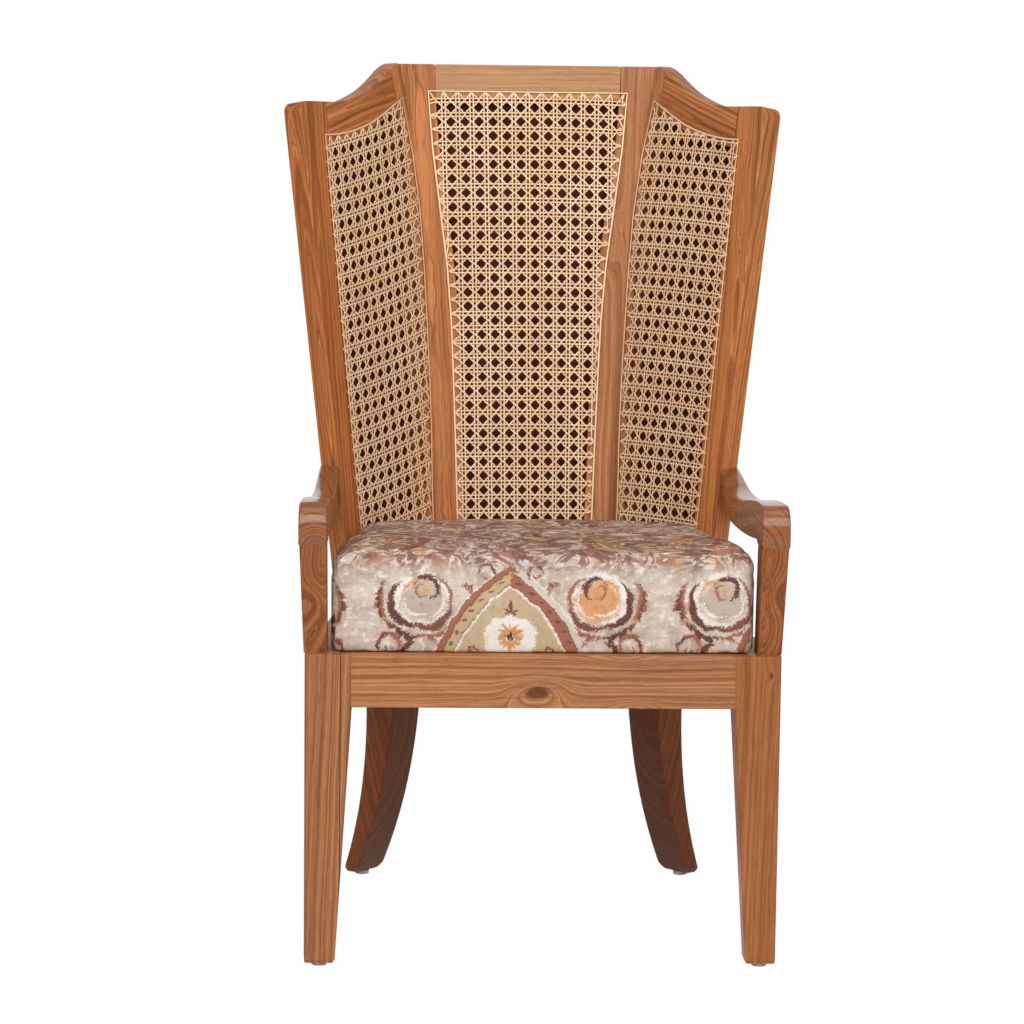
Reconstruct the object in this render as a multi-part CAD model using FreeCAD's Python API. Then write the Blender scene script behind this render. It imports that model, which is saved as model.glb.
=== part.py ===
import FreeCAD, Part
import math
import os
from FreeCAD import Vector

# High-backed wing chair: teak frame, three hand-caned back panels, scooped
# open arms and a loose boxed seat cushion. Millimetres, +Z up. The chair is
# drawn with the face of its front rail on y = 0 and looks towards -Y; at the
# end every piece is moved so that the origin is under the middle of the chair.

os.makedirs("parts", exist_ok=True)

# Seat frame
seat_rail_top = 382.0
seat_rail_height = 64.0
seat_rail_thick = 28.0
rail_easing = 4.0
edge_easing = 2.0

# Front legs
leg_half_spread = 287.0
leg_top_width = 56.0
leg_foot_width = 38.0

# Rear legs, sabre shaped and set square to the corner rails
rear_leg_along = 44.0
rear_leg_top_deep = 52.0
rear_leg_top_wide = 61.0
rear_leg_foot_deep = 22.0
rear_leg_foot_wide = 57.0
rear_leg_sweep = 53.0
rear_leg_knee = 300.0
rear_leg_lap_drop = 8.0
sabre_power = 2.4

# Foot glides
glide_height = 5.0
glide_radius = 9.5
glide_rim = 1.5
glide_pin_radius = 1.6
glide_pin_length = 14.0
front_glide_inset = 19.0
front_glide_back = 19.0

# Planes of the three back panels, measured on their front faces
wing_angle = math.radians(51.7)
wing_lean = math.radians(6.7)
centre_lean = math.radians(4.83)
wing_root_set = 157.0
wing_root_x = leg_half_spread - wing_root_set
wing_root_y = 548.6
centre_root_y = 580.0
back_height = 726.0
frame_thick = 30.0
cane_ledge = 10.0
skin_clear = 0.5

# Inner stiles: half width of the centre panel and of the wing root at the crest
centre_flare = 8.0
wing_root_flare = 48.0
centre_half_top = wing_root_x + centre_flare
wing_root_half_top = wing_root_x + wing_root_flare
stile_facet = 7.0
binder_bed = 3.0
# height, centre panel edge, wing panel edge, each a share of the sizes above
inner_stile_shares = [
    (-0.088, 0.630, 0.668),
    (0.147, 0.667, 0.716),
    (0.355, 0.705, 0.739),
    (0.562, 0.757, 0.784),
    (0.672, 0.820, 0.815),
    (0.787, 0.905, 0.862),
    (0.906, 0.975, 0.955),
    (1.000, 1.000, 1.026),
]

# Wing frames, in the plane of the wing
outer_stile_in = 137.0
outer_stile_in_lean = 6.0
outer_stile_out = 163.0
wing_reach = 186.0
# the crest line of a wing, along the reach and up the back
wing_crest_shares = [
    (-0.35, 1.008), (-0.21, 1.0055), (-0.14, 0.9995), (-0.075, 0.9905), (0.0, 0.978), (0.10, 0.962),
    (0.20, 0.949), (0.33, 0.9365), (0.467, 0.927), (0.60, 0.9235), (0.75, 0.923), (0.86, 0.923),
]
wing_tip_share = 0.9225
wing_tip_radius = 14.0
# the upper edge of the wing cane, along the reach and up the back
wing_cane_top_shares = [
    (-0.16, 0.935), (0.035, 0.909), (0.20, 0.889), (0.42, 0.872), (0.60, 0.864), (0.80, 0.861),
]
bottom_rail_low = 22.0
bottom_rail_height = 42.0
top_rail_height = 37.0

# Cane panels and the binder over their holes
cane_thick = 1.8
cane_pitch = 20.3
cane_gap_radius = 4.7
cane_border = 3.0
binder_width = 3.0
binder_thick = 1.2

# Boards behind the cane, let into rebates in the back of the frame
back_board_thick = 6.0
back_board_rebate = 6.0

# Arms
arm_in_rear_set = 34.5
arm_in_front_set = 26.0
arm_out_stand = 8.5
arm_joint_height = 513.0
arm_under_rise = 11.0
arm_under_turn = 5.0
arm_belly_drop = 1.0
knuckle_high = 50.0
arm_rear_rise = 63.0
arm_in_rear = leg_half_spread - arm_in_rear_set
arm_in_front = leg_half_spread - arm_in_front_set
arm_out_front = leg_half_spread + arm_out_stand
arm_low_rear = arm_joint_height + arm_under_rise
arm_high_front = arm_joint_height + knuckle_high
arm_high_rear = arm_joint_height + arm_rear_rise
arm_scoop = 12.5
# the scooped upper line, along the arm and between the scoop and the knuckle's height
arm_top_shares = [(0.10, 1.0), (0.25, 0.60), (0.42, 0.06), (0.55, 0.0), (0.70, 0.28), (0.86, 1.15)]
knuckle_nose = 1.0
knuckle_radius = 26.0
knuckle_face_share = 0.8
knuckle_bend_share = 0.3
post_depth = 46.0
post_back_set = 15.0
post_in_set = 27.0
post_out_stand = 1.5
post_in_foot = leg_half_spread - post_in_set
post_out_foot = leg_half_spread + post_out_stand
post_easing = 2.5

# Seat board, cleats and blocks
board_thick = 12.0
board_clear = 2.0
board_corner_set = 5.6
cleat_wide = 18.0
cleat_high = 22.0
front_cleat_half = 150.0
block_reach = 62.0
block_high = 44.0
block_drop = 1.0
screw_radius = 2.2
screw_head_radius = 4.2
screw_head_high = 2.6
screw_grip = 16.0

# Dowels
dowel_radius = 4.0
dowel_half = 14.0
dowel_spread = 15.0

# Cushion
cushion_clear = 0.3
cushion_side_set = 32.0
cushion_half_front = leg_half_spread - cushion_side_set
cushion_front_back_set = 17.0
cushion_height = 125.0
cushion_crown = 13.0
cushion_corner = 26.0
cushion_wing_gap = 7.0
cushion_rear_gap = 8.0
cushion_rear_set = 18.0
cushion_half_rear = wing_root_x - cushion_rear_set
cushion_draw = 4.0
cushion_corner_pull = 0.35
foam_inset = 9.0

# Cutting overrun, and how closely faces are taken as flat and joined
overrun = 20.0
rounding = 0.001
flat_share = 1e-6

UP = Vector(0, 0, 1)
SIDES = (("left", -1), ("right", 1))
parts = {}

rail_bottom = seat_rail_top - seat_rail_height
along = Vector(math.cos(wing_angle), -math.sin(wing_angle), 0)
behind = Vector(math.sin(wing_angle), math.cos(wing_angle), 0)
wing_up = UP * math.cos(wing_lean) + behind * math.sin(wing_lean)
wing_back = behind * math.cos(wing_lean) - UP * math.sin(wing_lean)
wing_root = Vector(wing_root_x, wing_root_y, seat_rail_top)
centre_up = Vector(0, math.sin(centre_lean), math.cos(centre_lean))
centre_back = Vector(0, math.cos(centre_lean), -math.sin(centre_lean))
centre_root = Vector(0, centre_root_y, seat_rail_top)


def wing_point(s, t, depth=0.0):
    """Point of the right wing: s along, t up the slope, depth behind the face."""
    return wing_root + along * s + wing_up * t + wing_back * depth


def centre_point(x, t, depth=0.0):
    """Point of the centre panel: x across, t up the slope, depth behind the face."""
    return centre_root + Vector(x, 0, 0) + centre_up * t + centre_back * depth


def wing_face_y(x, z):
    """Depth of the right wing's face where it has this x and height."""
    run = (x - wing_root_x) * math.tan(wing_angle)
    return wing_root_y - run + (z - seat_rail_top) * math.tan(wing_lean) / math.cos(wing_angle)


def centre_face_y(z):
    """Depth of the centre panel's face at a height."""
    return centre_root_y + (z - seat_rail_top) * math.tan(centre_lean)


def polygon(points):
    """Closed wire through points."""
    return Part.makePolygon(points + [points[0]])


def prism(points, run):
    """Solid that sweeps a closed outline along a vector."""
    return Part.Face(polygon(points)).extrude(run)


def block(low, high):
    """Box between two corners."""
    size = high - low
    return Part.makeBox(size.x, size.y, size.z, low)


def mirrored(shape):
    """The same shape on the left side."""
    return shape.mirror(Vector(0, 0, 0), Vector(1, 0, 0))


def largest(shape):
    """The largest solid of a cut."""
    return max(shape.Solids, key=lambda solid: solid.Volume)


def curve_edge(points):
    """Smooth edge through points."""
    curve = Part.BSplineCurve()
    curve.interpolate(points)
    return curve.toShape()


def eased(shape, radius, chosen):
    """Round the straight or curved edges that the test picks."""
    edges = [edge for edge in shape.Edges if chosen(edge)]
    return shape.makeFillet(radius, edges)


def share_between(table, value, column):
    """Smooth reading of a table whose first column rises."""
    spans = len(table) - 1
    span = max(0, min(spans - 1, sum(value > row[0] for row in table[1:])))
    low, high = table[span], table[span + 1]
    before, after = table[max(0, span - 1)], table[min(spans, span + 2)]
    width = high[0] - low[0]
    rise_low = (high[column] - before[column]) / (high[0] - before[0]) * width
    rise_high = (after[column] - low[column]) / (after[0] - low[0]) * width
    part = (value - low[0]) / width
    bend = low[column] - high[column]
    cubic = 2 * bend + rise_low + rise_high
    square = -3 * bend - 2 * rise_low - rise_high
    return ((cubic * part + square) * part + rise_low) * part + low[column]


def flat_quad(corners):
    """True where four corners lie in one plane."""
    first, second, third = (corner - corners[0] for corner in corners[1:])
    volume = abs(first.cross(second).dot(third))
    return volume < flat_share * second.Length ** 3


def skin(sections):
    """Solid through outlines with the same number of corners: flat sides where they can be."""
    faces = [Part.Face(polygon(sections[0])), Part.Face(polygon(sections[-1]))]
    for lower, upper in zip(sections, sections[1:]):
        for index in range(len(lower)):
            corners = [lower[index - 1], lower[index], upper[index], upper[index - 1]]
            if flat_quad(corners):
                faces.append(Part.Face(polygon(corners)))
            else:
                low_edge = Part.LineSegment(corners[0], corners[1]).toShape()
                high_edge = Part.LineSegment(corners[3], corners[2]).toShape()
                faces.append(Part.makeRuledSurface(low_edge, high_edge))
    solid = Part.makeSolid(Part.makeShell(faces))
    solid.fix(rounding, rounding, rounding)
    return solid.removeSplitter()


# Inner stiles

def stile_edges(z):
    """Half width of the centre panel and of the wing root at a height."""
    share = (z - seat_rail_top) / back_height
    centre = share_between(inner_stile_shares, share, 1) * centre_half_top
    wing = share_between(inner_stile_shares, share, 2) * wing_root_half_top
    return centre, wing


def stile_section(z):
    """Outline of the right inner stile at a height."""
    centre_half, wing_half = stile_edges(z)
    front = centre_face_y(z)
    wing_edge = Vector(wing_half, wing_face_y(wing_half, z), z)
    outer_front = wing_edge + along * cane_ledge
    outer_back = outer_front + behind * frame_thick
    step = (front + frame_thick - outer_back.y) / math.sin(wing_angle)
    heel = outer_back - along * step
    inner = centre_half - cane_ledge
    return [
        Vector(inner, front, z),
        Vector(wing_half - stile_facet, front, z),
        wing_edge - along * binder_bed,
        outer_front,
        outer_back,
        heel,
        Vector(inner, front + frame_thick, z),
    ]


def steps(low, high, count):
    """Evenly spaced values from low to high."""
    return [low + (high - low) * step / count for step in range(count + 1)]


stile_span_count = 18
stile_top = seat_rail_top + back_height
inner_stile = skin([stile_section(z) for z in steps(rail_bottom, stile_top, stile_span_count)])


# Wing frame, in the plane of the wing

rise = back_height / math.cos(wing_lean)
stile_base = (rail_bottom - seat_rail_top) / math.cos(wing_lean)
tip_high = wing_tip_share * rise
bottom_rail_top = bottom_rail_low + bottom_rail_height


def outer_stile_in_at(t):
    """Cane edge of the outer stile at a height up the slope."""
    return outer_stile_in + outer_stile_in_lean * t / rise


def outer_stile_out_at(t):
    """Outer edge of the outer stile at a height up the slope."""
    part = (t - stile_base) / (tip_high - stile_base)
    return outer_stile_out + (wing_reach - outer_stile_out) * part


def wing_prism(edges):
    """Solid of frame thickness behind an outline in the wing plane."""
    return Part.Face(Part.Wire(edges)).extrude(wing_back * frame_thick)


crest = [wing_point(s * wing_reach, t * rise) for s, t in wing_crest_shares]
tip_start = wing_point(wing_reach - wing_tip_radius, tip_high)
tip_bend = wing_tip_radius * (1 - math.sqrt(0.5))
tip_middle = wing_point(wing_reach - tip_bend, tip_high - tip_bend)
tip_end = wing_point(outer_stile_out_at(tip_high - wing_tip_radius), tip_high - wing_tip_radius)
crest_edge = curve_edge(crest + [tip_start])
tip_edge = Part.Arc(tip_start, tip_middle, tip_end).toShape()
foot_out = wing_point(outer_stile_out, stile_base)
foot_in = wing_point(wing_crest_shares[0][0] * wing_reach, stile_base)
wing_blank = wing_prism([
    crest_edge,
    tip_edge,
    Part.LineSegment(tip_end, foot_out).toShape(),
    Part.LineSegment(foot_out, foot_in).toShape(),
    Part.LineSegment(foot_in, crest[0]).toShape(),
])

beyond = wing_reach + overrun
stile_inside = [
    wing_point(outer_stile_in_at(stile_base) - cane_ledge, stile_base - overrun, -overrun),
    wing_point(outer_stile_in_at(rise) - cane_ledge, rise + overrun, -overrun),
    wing_point(beyond, rise + overrun, -overrun),
    wing_point(beyond, stile_base - overrun, -overrun),
]
outer_half = prism(stile_inside, wing_back * (frame_thick + overrun * 2))
level_cut = block(
    Vector(0, 0, rail_bottom - seat_rail_top),
    Vector(leg_half_spread * 2, centre_root_y * 2, rail_bottom),
)
crest_trim = block(
    Vector(-leg_half_spread, 0, stile_top),
    Vector(leg_half_spread, centre_root_y * 2, stile_top + overrun * 2),
)
outer_stile = largest(wing_blank.common(outer_half).cut(level_cut))

sky_high = rise + overrun * 2
sky_near = wing_point(wing_crest_shares[0][0] * wing_reach, sky_high)
sky_far = wing_point(wing_reach - wing_tip_radius, sky_high)
above_crest = Part.Face(Part.Wire([
    crest_edge,
    Part.LineSegment(tip_start, sky_far).toShape(),
    Part.LineSegment(sky_far, sky_near).toShape(),
    Part.LineSegment(sky_near, crest[0]).toShape(),
])).extrude(wing_back * (frame_thick + overrun * 2))
above_crest.translate(wing_back * (-overrun))
inner_stile = largest(inner_stile.cut(above_crest))

opening_top = [wing_point(s * wing_reach, t * rise - cane_ledge, -overrun) for s, t in wing_cane_top_shares]
opening_near = wing_crest_shares[0][0] * wing_reach - overrun
corner_far = wing_point(beyond, wing_cane_top_shares[-1][1] * rise - cane_ledge, -overrun)
corner_low = wing_point(beyond, stile_base - overrun * 2, -overrun)
corner_near = wing_point(opening_near, stile_base - overrun * 2, -overrun)
corner_high = wing_point(opening_near, wing_cane_top_shares[0][1] * rise, -overrun)
opening_edges = [
    curve_edge(opening_top),
    Part.LineSegment(opening_top[-1], corner_far).toShape(),
    Part.LineSegment(corner_far, corner_low).toShape(),
    Part.LineSegment(corner_low, corner_near).toShape(),
    Part.LineSegment(corner_near, corner_high).toShape(),
    Part.LineSegment(corner_high, opening_top[0]).toShape(),
]
below_top_rail = Part.Face(Part.Wire(opening_edges)).extrude(wing_back * (frame_thick + overrun * 2))
wing_top_rail = wing_blank.cut(below_top_rail).cut(outer_half).cut(inner_stile).cut(crest_trim)
wing_top_rail = largest(wing_top_rail)


def wing_in_at(t):
    """Inner edge of the wing cane, along the wing, at a height up the slope."""
    half = stile_edges(seat_rail_top + t * math.cos(wing_lean))[1]
    drift = math.sin(wing_angle) * math.sin(wing_lean) * t
    return (half - wing_root_x - drift) / math.cos(wing_angle)


skin_low, skin_depth = tip_high - top_rail_height * 2, frame_thick - skin_clear
stile_skin = [
    wing_point(opening_near, skin_low, skin_depth),
    wing_point(wing_in_at(skin_low) + cane_ledge, skin_low, skin_depth),
    wing_point(wing_in_at(rise) + cane_ledge, rise, skin_depth),
    wing_point(wing_in_at(rise) + cane_ledge, rise + overrun, skin_depth),
    wing_point(opening_near, rise + overrun, skin_depth),
]
wing_top_rail = largest(wing_top_rail.cut(prism(stile_skin, wing_back * overrun)))

low_bar, high_bar = bottom_rail_low, bottom_rail_top + cane_ledge
wing_bottom_outline = [
    wing_point(wing_in_at(low_bar) + cane_ledge, low_bar),
    wing_point(wing_reach, low_bar),
    wing_point(wing_reach, high_bar),
    wing_point(wing_in_at(high_bar) + cane_ledge, high_bar),
]
wing_bottom_rail = prism(wing_bottom_outline, wing_back * frame_thick)
wing_bottom_rail = largest(wing_bottom_rail.cut(outer_half).cut(inner_stile))


# Centre panel frame

centre_top = (stile_top - seat_rail_top) / math.cos(centre_lean)
centre_cane_top = centre_top - top_rail_height


def centre_half_at(t):
    """Half width of the centre panel between its binders."""
    return stile_edges(seat_rail_top + t * math.cos(centre_lean))[0]


def centre_bar(low, high):
    """Bar of the centre panel between two heights, fitted between the stiles."""
    half_low = centre_half_at(low) - cane_ledge
    half_high = centre_half_at(min(high, centre_top)) - cane_ledge
    outline = [
        centre_point(-half_low, low),
        centre_point(half_low, low),
        centre_point(half_high, high),
        centre_point(-half_high, high),
    ]
    bar = prism(outline, centre_back * frame_thick)
    return largest(bar.cut(inner_stile).cut(mirrored(inner_stile)))


centre_top_rail = largest(centre_bar(centre_cane_top - cane_ledge, centre_top + overrun).cut(crest_trim))
centre_bottom_rail = centre_bar(bottom_rail_low, bottom_rail_top + cane_ledge)


# Cane panels

def wing_top_at(s):
    """Upper edge of the wing cane above a place along the wing."""
    return share_between(wing_cane_top_shares, s / wing_reach, 1) * rise


edge_span_count = 8
centre_heights = steps(bottom_rail_top, centre_cane_top, edge_span_count)
centre_outline = [(centre_half_at(t), t) for t in centre_heights]
centre_outline += [(-centre_half_at(t), t) for t in reversed(centre_heights)]

cane_corner_t = wing_top_at(0)
for _ in range(edge_span_count):
    cane_corner_t = wing_top_at(wing_in_at(cane_corner_t))
wing_heights = steps(bottom_rail_top, cane_corner_t, edge_span_count)
outer_corner_s = outer_stile_in_at(wing_top_at(outer_stile_in))
wing_outline = [(wing_in_at(t), t) for t in wing_heights]
wing_tops = steps(wing_in_at(cane_corner_t), outer_corner_s, edge_span_count)
wing_outline += [(s, wing_top_at(s)) for s in wing_tops[1:]]
wing_outline += [(outer_stile_in_at(bottom_rail_top), bottom_rail_top)]


def panel_face(outline, place, depth, offset):
    """Flat face of a panel, its outline moved out by an offset."""
    face = Part.Face(polygon([place(s, t, depth) for s, t in outline]))
    return face.makeOffset2D(offset, join=2) if offset else face


def binder(outline, place, back):
    """Ring of flat binder cane on top of the net, over the line of holes."""
    depth = -cane_thick
    outer = panel_face(outline, place, depth, binder_width / 2)
    inner = panel_face(outline, place, depth, -binder_width / 2)
    return outer.cut(inner).extrude(back * -binder_thick)


def cane_net(outline, place, back, centres):
    """Holed sheet of cane on the face of the frame."""
    sheet = Part.Face(polygon([place(s, t, -cane_thick) for s, t in outline]))
    circles = [Part.makeCircle(cane_gap_radius, place(s, t, -cane_thick), back) for s, t in centres]
    holed = Part.Face([sheet.OuterWire] + [Part.Wire(circle) for circle in circles])
    return holed.extrude(back * cane_thick)


gap_margin = cane_ledge + cane_border + cane_gap_radius
centre_gaps = []
row_t = bottom_rail_top + gap_margin
while row_t < centre_cane_top - gap_margin:
    row_half = centre_half_at(row_t) - gap_margin
    columns = int(row_half / cane_pitch)
    centre_gaps += [(column * cane_pitch, row_t) for column in range(-columns, columns + 1)]
    row_t += cane_pitch

wing_gaps = []
row_t = bottom_rail_top + gap_margin
while row_t < cane_corner_t:
    place_s = outer_stile_in_at(row_t) - gap_margin
    while place_s > wing_in_at(row_t) + gap_margin:
        if row_t < wing_top_at(place_s) - gap_margin:
            wing_gaps.append((place_s, row_t))
        place_s -= cane_pitch
    row_t += cane_pitch
print("gaps in the centre and in each wing net:", len(centre_gaps), len(wing_gaps))

parts["cane_centre"] = cane_net(centre_outline, centre_point, centre_back, centre_gaps)
parts["binder_centre"] = binder(centre_outline, centre_point, centre_back)
cane_wing = cane_net(wing_outline, wing_point, wing_back, wing_gaps)
binder_wing = binder(wing_outline, wing_point, wing_back)


# Boards behind the cane

board_set_in = cane_ledge - back_board_rebate
centre_board_heights = steps(
    bottom_rail_top + board_set_in, centre_cane_top - board_set_in, edge_span_count,
)
centre_board_outline = [(centre_half_at(t) - board_set_in, t) for t in centre_board_heights]
centre_board_outline += [(-s, t) for s, t in reversed(centre_board_outline)]
wing_board_base = bottom_rail_top + board_set_in
wing_board_heights = steps(wing_board_base, cane_corner_t - board_set_in, edge_span_count)
wing_board_outline = [(wing_in_at(t) + board_set_in, t) for t in wing_board_heights]
wing_board_tops = steps(wing_board_outline[-1][0], outer_corner_s - board_set_in, edge_span_count)
wing_board_outline += [(s, wing_top_at(s) - board_set_in) for s in wing_board_tops[1:]]
wing_board_outline += [(outer_stile_in_at(wing_board_base) - board_set_in, wing_board_base)]


def back_board(outline, place, back):
    """Flat board whose back is flush with the back of the frame."""
    depth = frame_thick - back_board_thick
    face = Part.Face(polygon([place(s, t, depth) for s, t in outline]))
    return face.extrude(back * back_board_thick)


back_board_centre = back_board(centre_board_outline, centre_point, centre_back)
back_board_wing = back_board(wing_board_outline, wing_point, wing_back)
inner_stile = inner_stile.cut(back_board_centre).cut(back_board_wing)
outer_stile = outer_stile.cut(back_board_wing)
wing_top_rail = wing_top_rail.cut(back_board_wing)
wing_bottom_rail = wing_bottom_rail.cut(back_board_wing)
centre_top_rail = centre_top_rail.cut(back_board_centre)
centre_bottom_rail = centre_bottom_rail.cut(back_board_centre)
parts["back_board_centre"] = back_board_centre


# Seat frame rails

front_rail = block(
    Vector(-leg_half_spread + leg_top_width, 0, rail_bottom),
    Vector(leg_half_spread - leg_top_width, seat_rail_thick, seat_rail_top),
)


def level_wing_point(s, z, depth=0.0):
    """Point of the upright plane under the wing."""
    return Vector(wing_root_x, wing_root_y, z) + along * s + behind * depth


corner_start = wing_in_at(stile_base) + cane_ledge
corner_outline = [
    level_wing_point(corner_start, rail_bottom),
    level_wing_point(outer_stile_out, rail_bottom),
    level_wing_point(outer_stile_out, rail_bottom, seat_rail_thick),
    level_wing_point(corner_start, rail_bottom, seat_rail_thick),
]
corner_rail = largest(prism(corner_outline, UP * seat_rail_height).cut(outer_half).cut(inner_stile))

rear_rail_half = centre_half_at(0) - cane_ledge
rear_rail = block(
    Vector(-rear_rail_half, centre_root_y, rail_bottom),
    Vector(rear_rail_half, centre_root_y + seat_rail_thick, seat_rail_top),
)
rear_rail = largest(rear_rail.cut(inner_stile).cut(mirrored(inner_stile)))

side_front_out = leg_half_spread - rail_easing
side_rear_point = level_wing_point(outer_stile_out, rail_bottom, frame_thick)
side_outline = [
    Vector(side_front_out, leg_top_width, rail_bottom),
    Vector(side_rear_point.x, side_rear_point.y, rail_bottom),
    Vector(side_rear_point.x - seat_rail_thick, side_rear_point.y, rail_bottom),
    Vector(side_front_out - seat_rail_thick, leg_top_width, rail_bottom),
]
side_rail = largest(prism(side_outline, UP * seat_rail_height).cut(outer_stile).cut(corner_rail))


def side_inner_x(y):
    """Inner face of the right side rail at a depth."""
    run = (y - leg_top_width) / (side_rear_point.y - leg_top_width)
    front = side_front_out - seat_rail_thick
    return front + (side_rear_point.x - seat_rail_thick - front) * run


# Front legs

def leg_section(z, wide, inner_cut):
    """Outline of a front leg at a height, its corners taken off by small flats."""
    inner, outer = leg_half_spread - wide, leg_half_spread
    outline = [
        Vector(outer - edge_easing, 0, z),
        Vector(outer, edge_easing, z),
        Vector(outer, wide - edge_easing, z),
        Vector(outer - edge_easing, wide, z),
    ]
    if inner_cut:
        outline += [
            Vector(inner + edge_easing, wide, z),
            Vector(inner, wide - edge_easing, z),
            Vector(inner, edge_easing, z),
            Vector(inner + edge_easing, 0, z),
        ]
    else:
        outline += [Vector(inner, wide, z), Vector(inner, 0, z)]
    return outline


leg_foot = skin([
    leg_section(glide_height, leg_foot_width, True),
    leg_section(rail_bottom, leg_top_width, True),
])
leg_head = skin([
    leg_section(rail_bottom, leg_top_width, False),
    leg_section(seat_rail_top, leg_top_width, False),
])
front_leg = leg_foot.fuse(leg_head).removeSplitter()


# Rear legs

def sabre_offset(z):
    """How far the leg has swept out at a height."""
    fall = max(0, (rear_leg_knee - z) / (rear_leg_knee - glide_height))
    return rear_leg_sweep * fall ** sabre_power


def rear_leg_section(z):
    """Outline of the right rear leg at a height."""
    fall = max(0, (rear_leg_knee - z) / (rear_leg_knee - glide_height))
    deep = rear_leg_top_deep + (rear_leg_foot_deep - rear_leg_top_deep) * fall
    wide = rear_leg_top_wide + (rear_leg_foot_wide - rear_leg_top_wide) * fall
    middle = level_wing_point(rear_leg_along, z, rear_leg_top_deep / 2 + sabre_offset(z))
    return [
        middle + along * (-wide / 2) + behind * (-deep / 2),
        middle + along * (wide / 2) + behind * (-deep / 2),
        middle + along * (wide / 2) + behind * (deep / 2),
        middle + along * (-wide / 2) + behind * (deep / 2),
    ]


knee_span_count = 16
rear_leg = skin([rear_leg_section(z) for z in steps(glide_height, rear_leg_knee, knee_span_count)])
lap_outline = [
    level_wing_point(rear_leg_along - rear_leg_top_wide / 2, rear_leg_knee, 0),
    level_wing_point(rear_leg_along + rear_leg_top_wide / 2, rear_leg_knee, 0),
    level_wing_point(rear_leg_along + rear_leg_top_wide / 2, rear_leg_knee, rear_leg_top_deep),
    level_wing_point(rear_leg_along - rear_leg_top_wide / 2, rear_leg_knee, rear_leg_top_deep),
]
rear_leg_head = prism(lap_outline, UP * (seat_rail_top - rear_leg_lap_drop - rear_leg_knee))
lap_recess_outline = [
    level_wing_point(rear_leg_along - rear_leg_top_wide, rail_bottom, -overrun),
    level_wing_point(rear_leg_along + rear_leg_top_wide, rail_bottom, -overrun),
    level_wing_point(rear_leg_along + rear_leg_top_wide, rail_bottom, seat_rail_thick),
    level_wing_point(rear_leg_along - rear_leg_top_wide, rail_bottom, seat_rail_thick),
]
rear_leg_head = rear_leg_head.cut(prism(lap_recess_outline, UP * seat_rail_height))
rear_leg = rear_leg.fuse(rear_leg_head).removeSplitter()


# Glides

def glide(x, y):
    """Pressed glide with its pin."""
    disc = Part.makeCylinder(glide_radius, glide_height, Vector(x, y, 0))
    disc = eased(disc, glide_rim, lambda edge: edge.BoundBox.ZMax < glide_height / 2)
    pin = Part.makeCylinder(glide_pin_radius, glide_pin_length, Vector(x, y, glide_height))
    return disc.fuse(pin)


front_glide = glide(leg_half_spread - front_glide_inset, front_glide_back)
rear_foot = level_wing_point(rear_leg_along, 0, rear_leg_top_deep / 2 + rear_leg_sweep)
rear_glide = glide(rear_foot.x, rear_foot.y)
front_leg = front_leg.cut(front_glide)
rear_leg = rear_leg.cut(rear_glide)


# Arms and their posts

arm_meets = (arm_high_rear - seat_rail_top) / math.cos(wing_lean)
rear_in = wing_point(outer_stile_out_at(arm_meets), arm_meets)
rear_out = wing_point(outer_stile_out_at(arm_meets), arm_meets, frame_thick)
knuckle_back = knuckle_nose + post_depth
arm_length = rear_out.y - knuckle_back


def arm_top_line():
    """Points of the arm's upper line from the knuckle to the stile."""
    points = [Vector(0, knuckle_back - post_depth / 3, arm_high_front)]
    for run, lift in arm_top_shares:
        height = arm_high_front - arm_scoop * (1 - lift)
        points.append(Vector(0, knuckle_back + run * arm_length, height))
    points.append(Vector(0, rear_out.y + overrun, arm_high_rear))
    return points


nose_top = arm_top_line()[0]
nose_low = Vector(0, knuckle_nose + edge_easing, arm_joint_height)
nose_front = Vector(0, knuckle_nose, arm_joint_height + knuckle_radius * knuckle_face_share)
nose_bend = knuckle_radius * knuckle_bend_share
nose_round = Vector(0, knuckle_nose + nose_bend, arm_high_front - nose_bend)
under_front = Vector(0, knuckle_back + edge_easing, arm_joint_height)
under_turn = Vector(0, knuckle_back + arm_under_turn * 2, arm_joint_height + arm_under_turn)
under_rear = Vector(0, rear_out.y + overrun, arm_low_rear)
under_middle = Vector(0, knuckle_back + arm_length / 2, arm_joint_height - arm_belly_drop)
top_line = arm_top_line()
arm_profile = Part.Wire([
    curve_edge([nose_low, nose_front, nose_round, nose_top]),
    curve_edge(top_line),
    Part.LineSegment(top_line[-1], under_rear).toShape(),
    Part.Arc(under_rear, under_middle, under_turn).toShape(),
    Part.LineSegment(under_turn, under_front).toShape(),
    Part.LineSegment(under_front, nose_low).toShape(),
])
arm_slab = Part.Face(arm_profile).extrude(Vector(leg_half_spread * 2, 0, 0))


def arm_plan_prism():
    """Upright prism of the arm's plan."""
    run = rear_out.y + overrun
    in_lean = (arm_in_rear - arm_in_front) / rear_in.y
    out_lean = (rear_out.x - arm_out_front) / rear_out.y
    outline = [
        Vector(arm_in_front - in_lean * overrun, -overrun, 0),
        Vector(arm_out_front - out_lean * overrun, -overrun, 0),
        Vector(arm_out_front + out_lean * run, run, 0),
        Vector(arm_in_front + in_lean * run, run, 0),
    ]
    return prism(outline, UP * stile_top)


arm = arm_slab.common(arm_plan_prism())
behind_arm_outline = [
    wing_point(outer_stile_out_at(0), 0, -overrun),
    wing_point(outer_stile_out_at(rise), rise, -overrun),
    wing_point(-wing_reach, rise, -overrun),
    wing_point(-wing_reach, 0, -overrun),
]
arm = largest(arm.cut(prism(behind_arm_outline, wing_back * (frame_thick + overrun * 3))))


def post_section(z, inner, outer, front):
    """Outline of an arm post at a height."""
    return [
        Vector(inner, front, z),
        Vector(outer, front, z),
        Vector(outer, front + post_depth, z),
        Vector(inner, front + post_depth, z),
    ]


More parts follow.
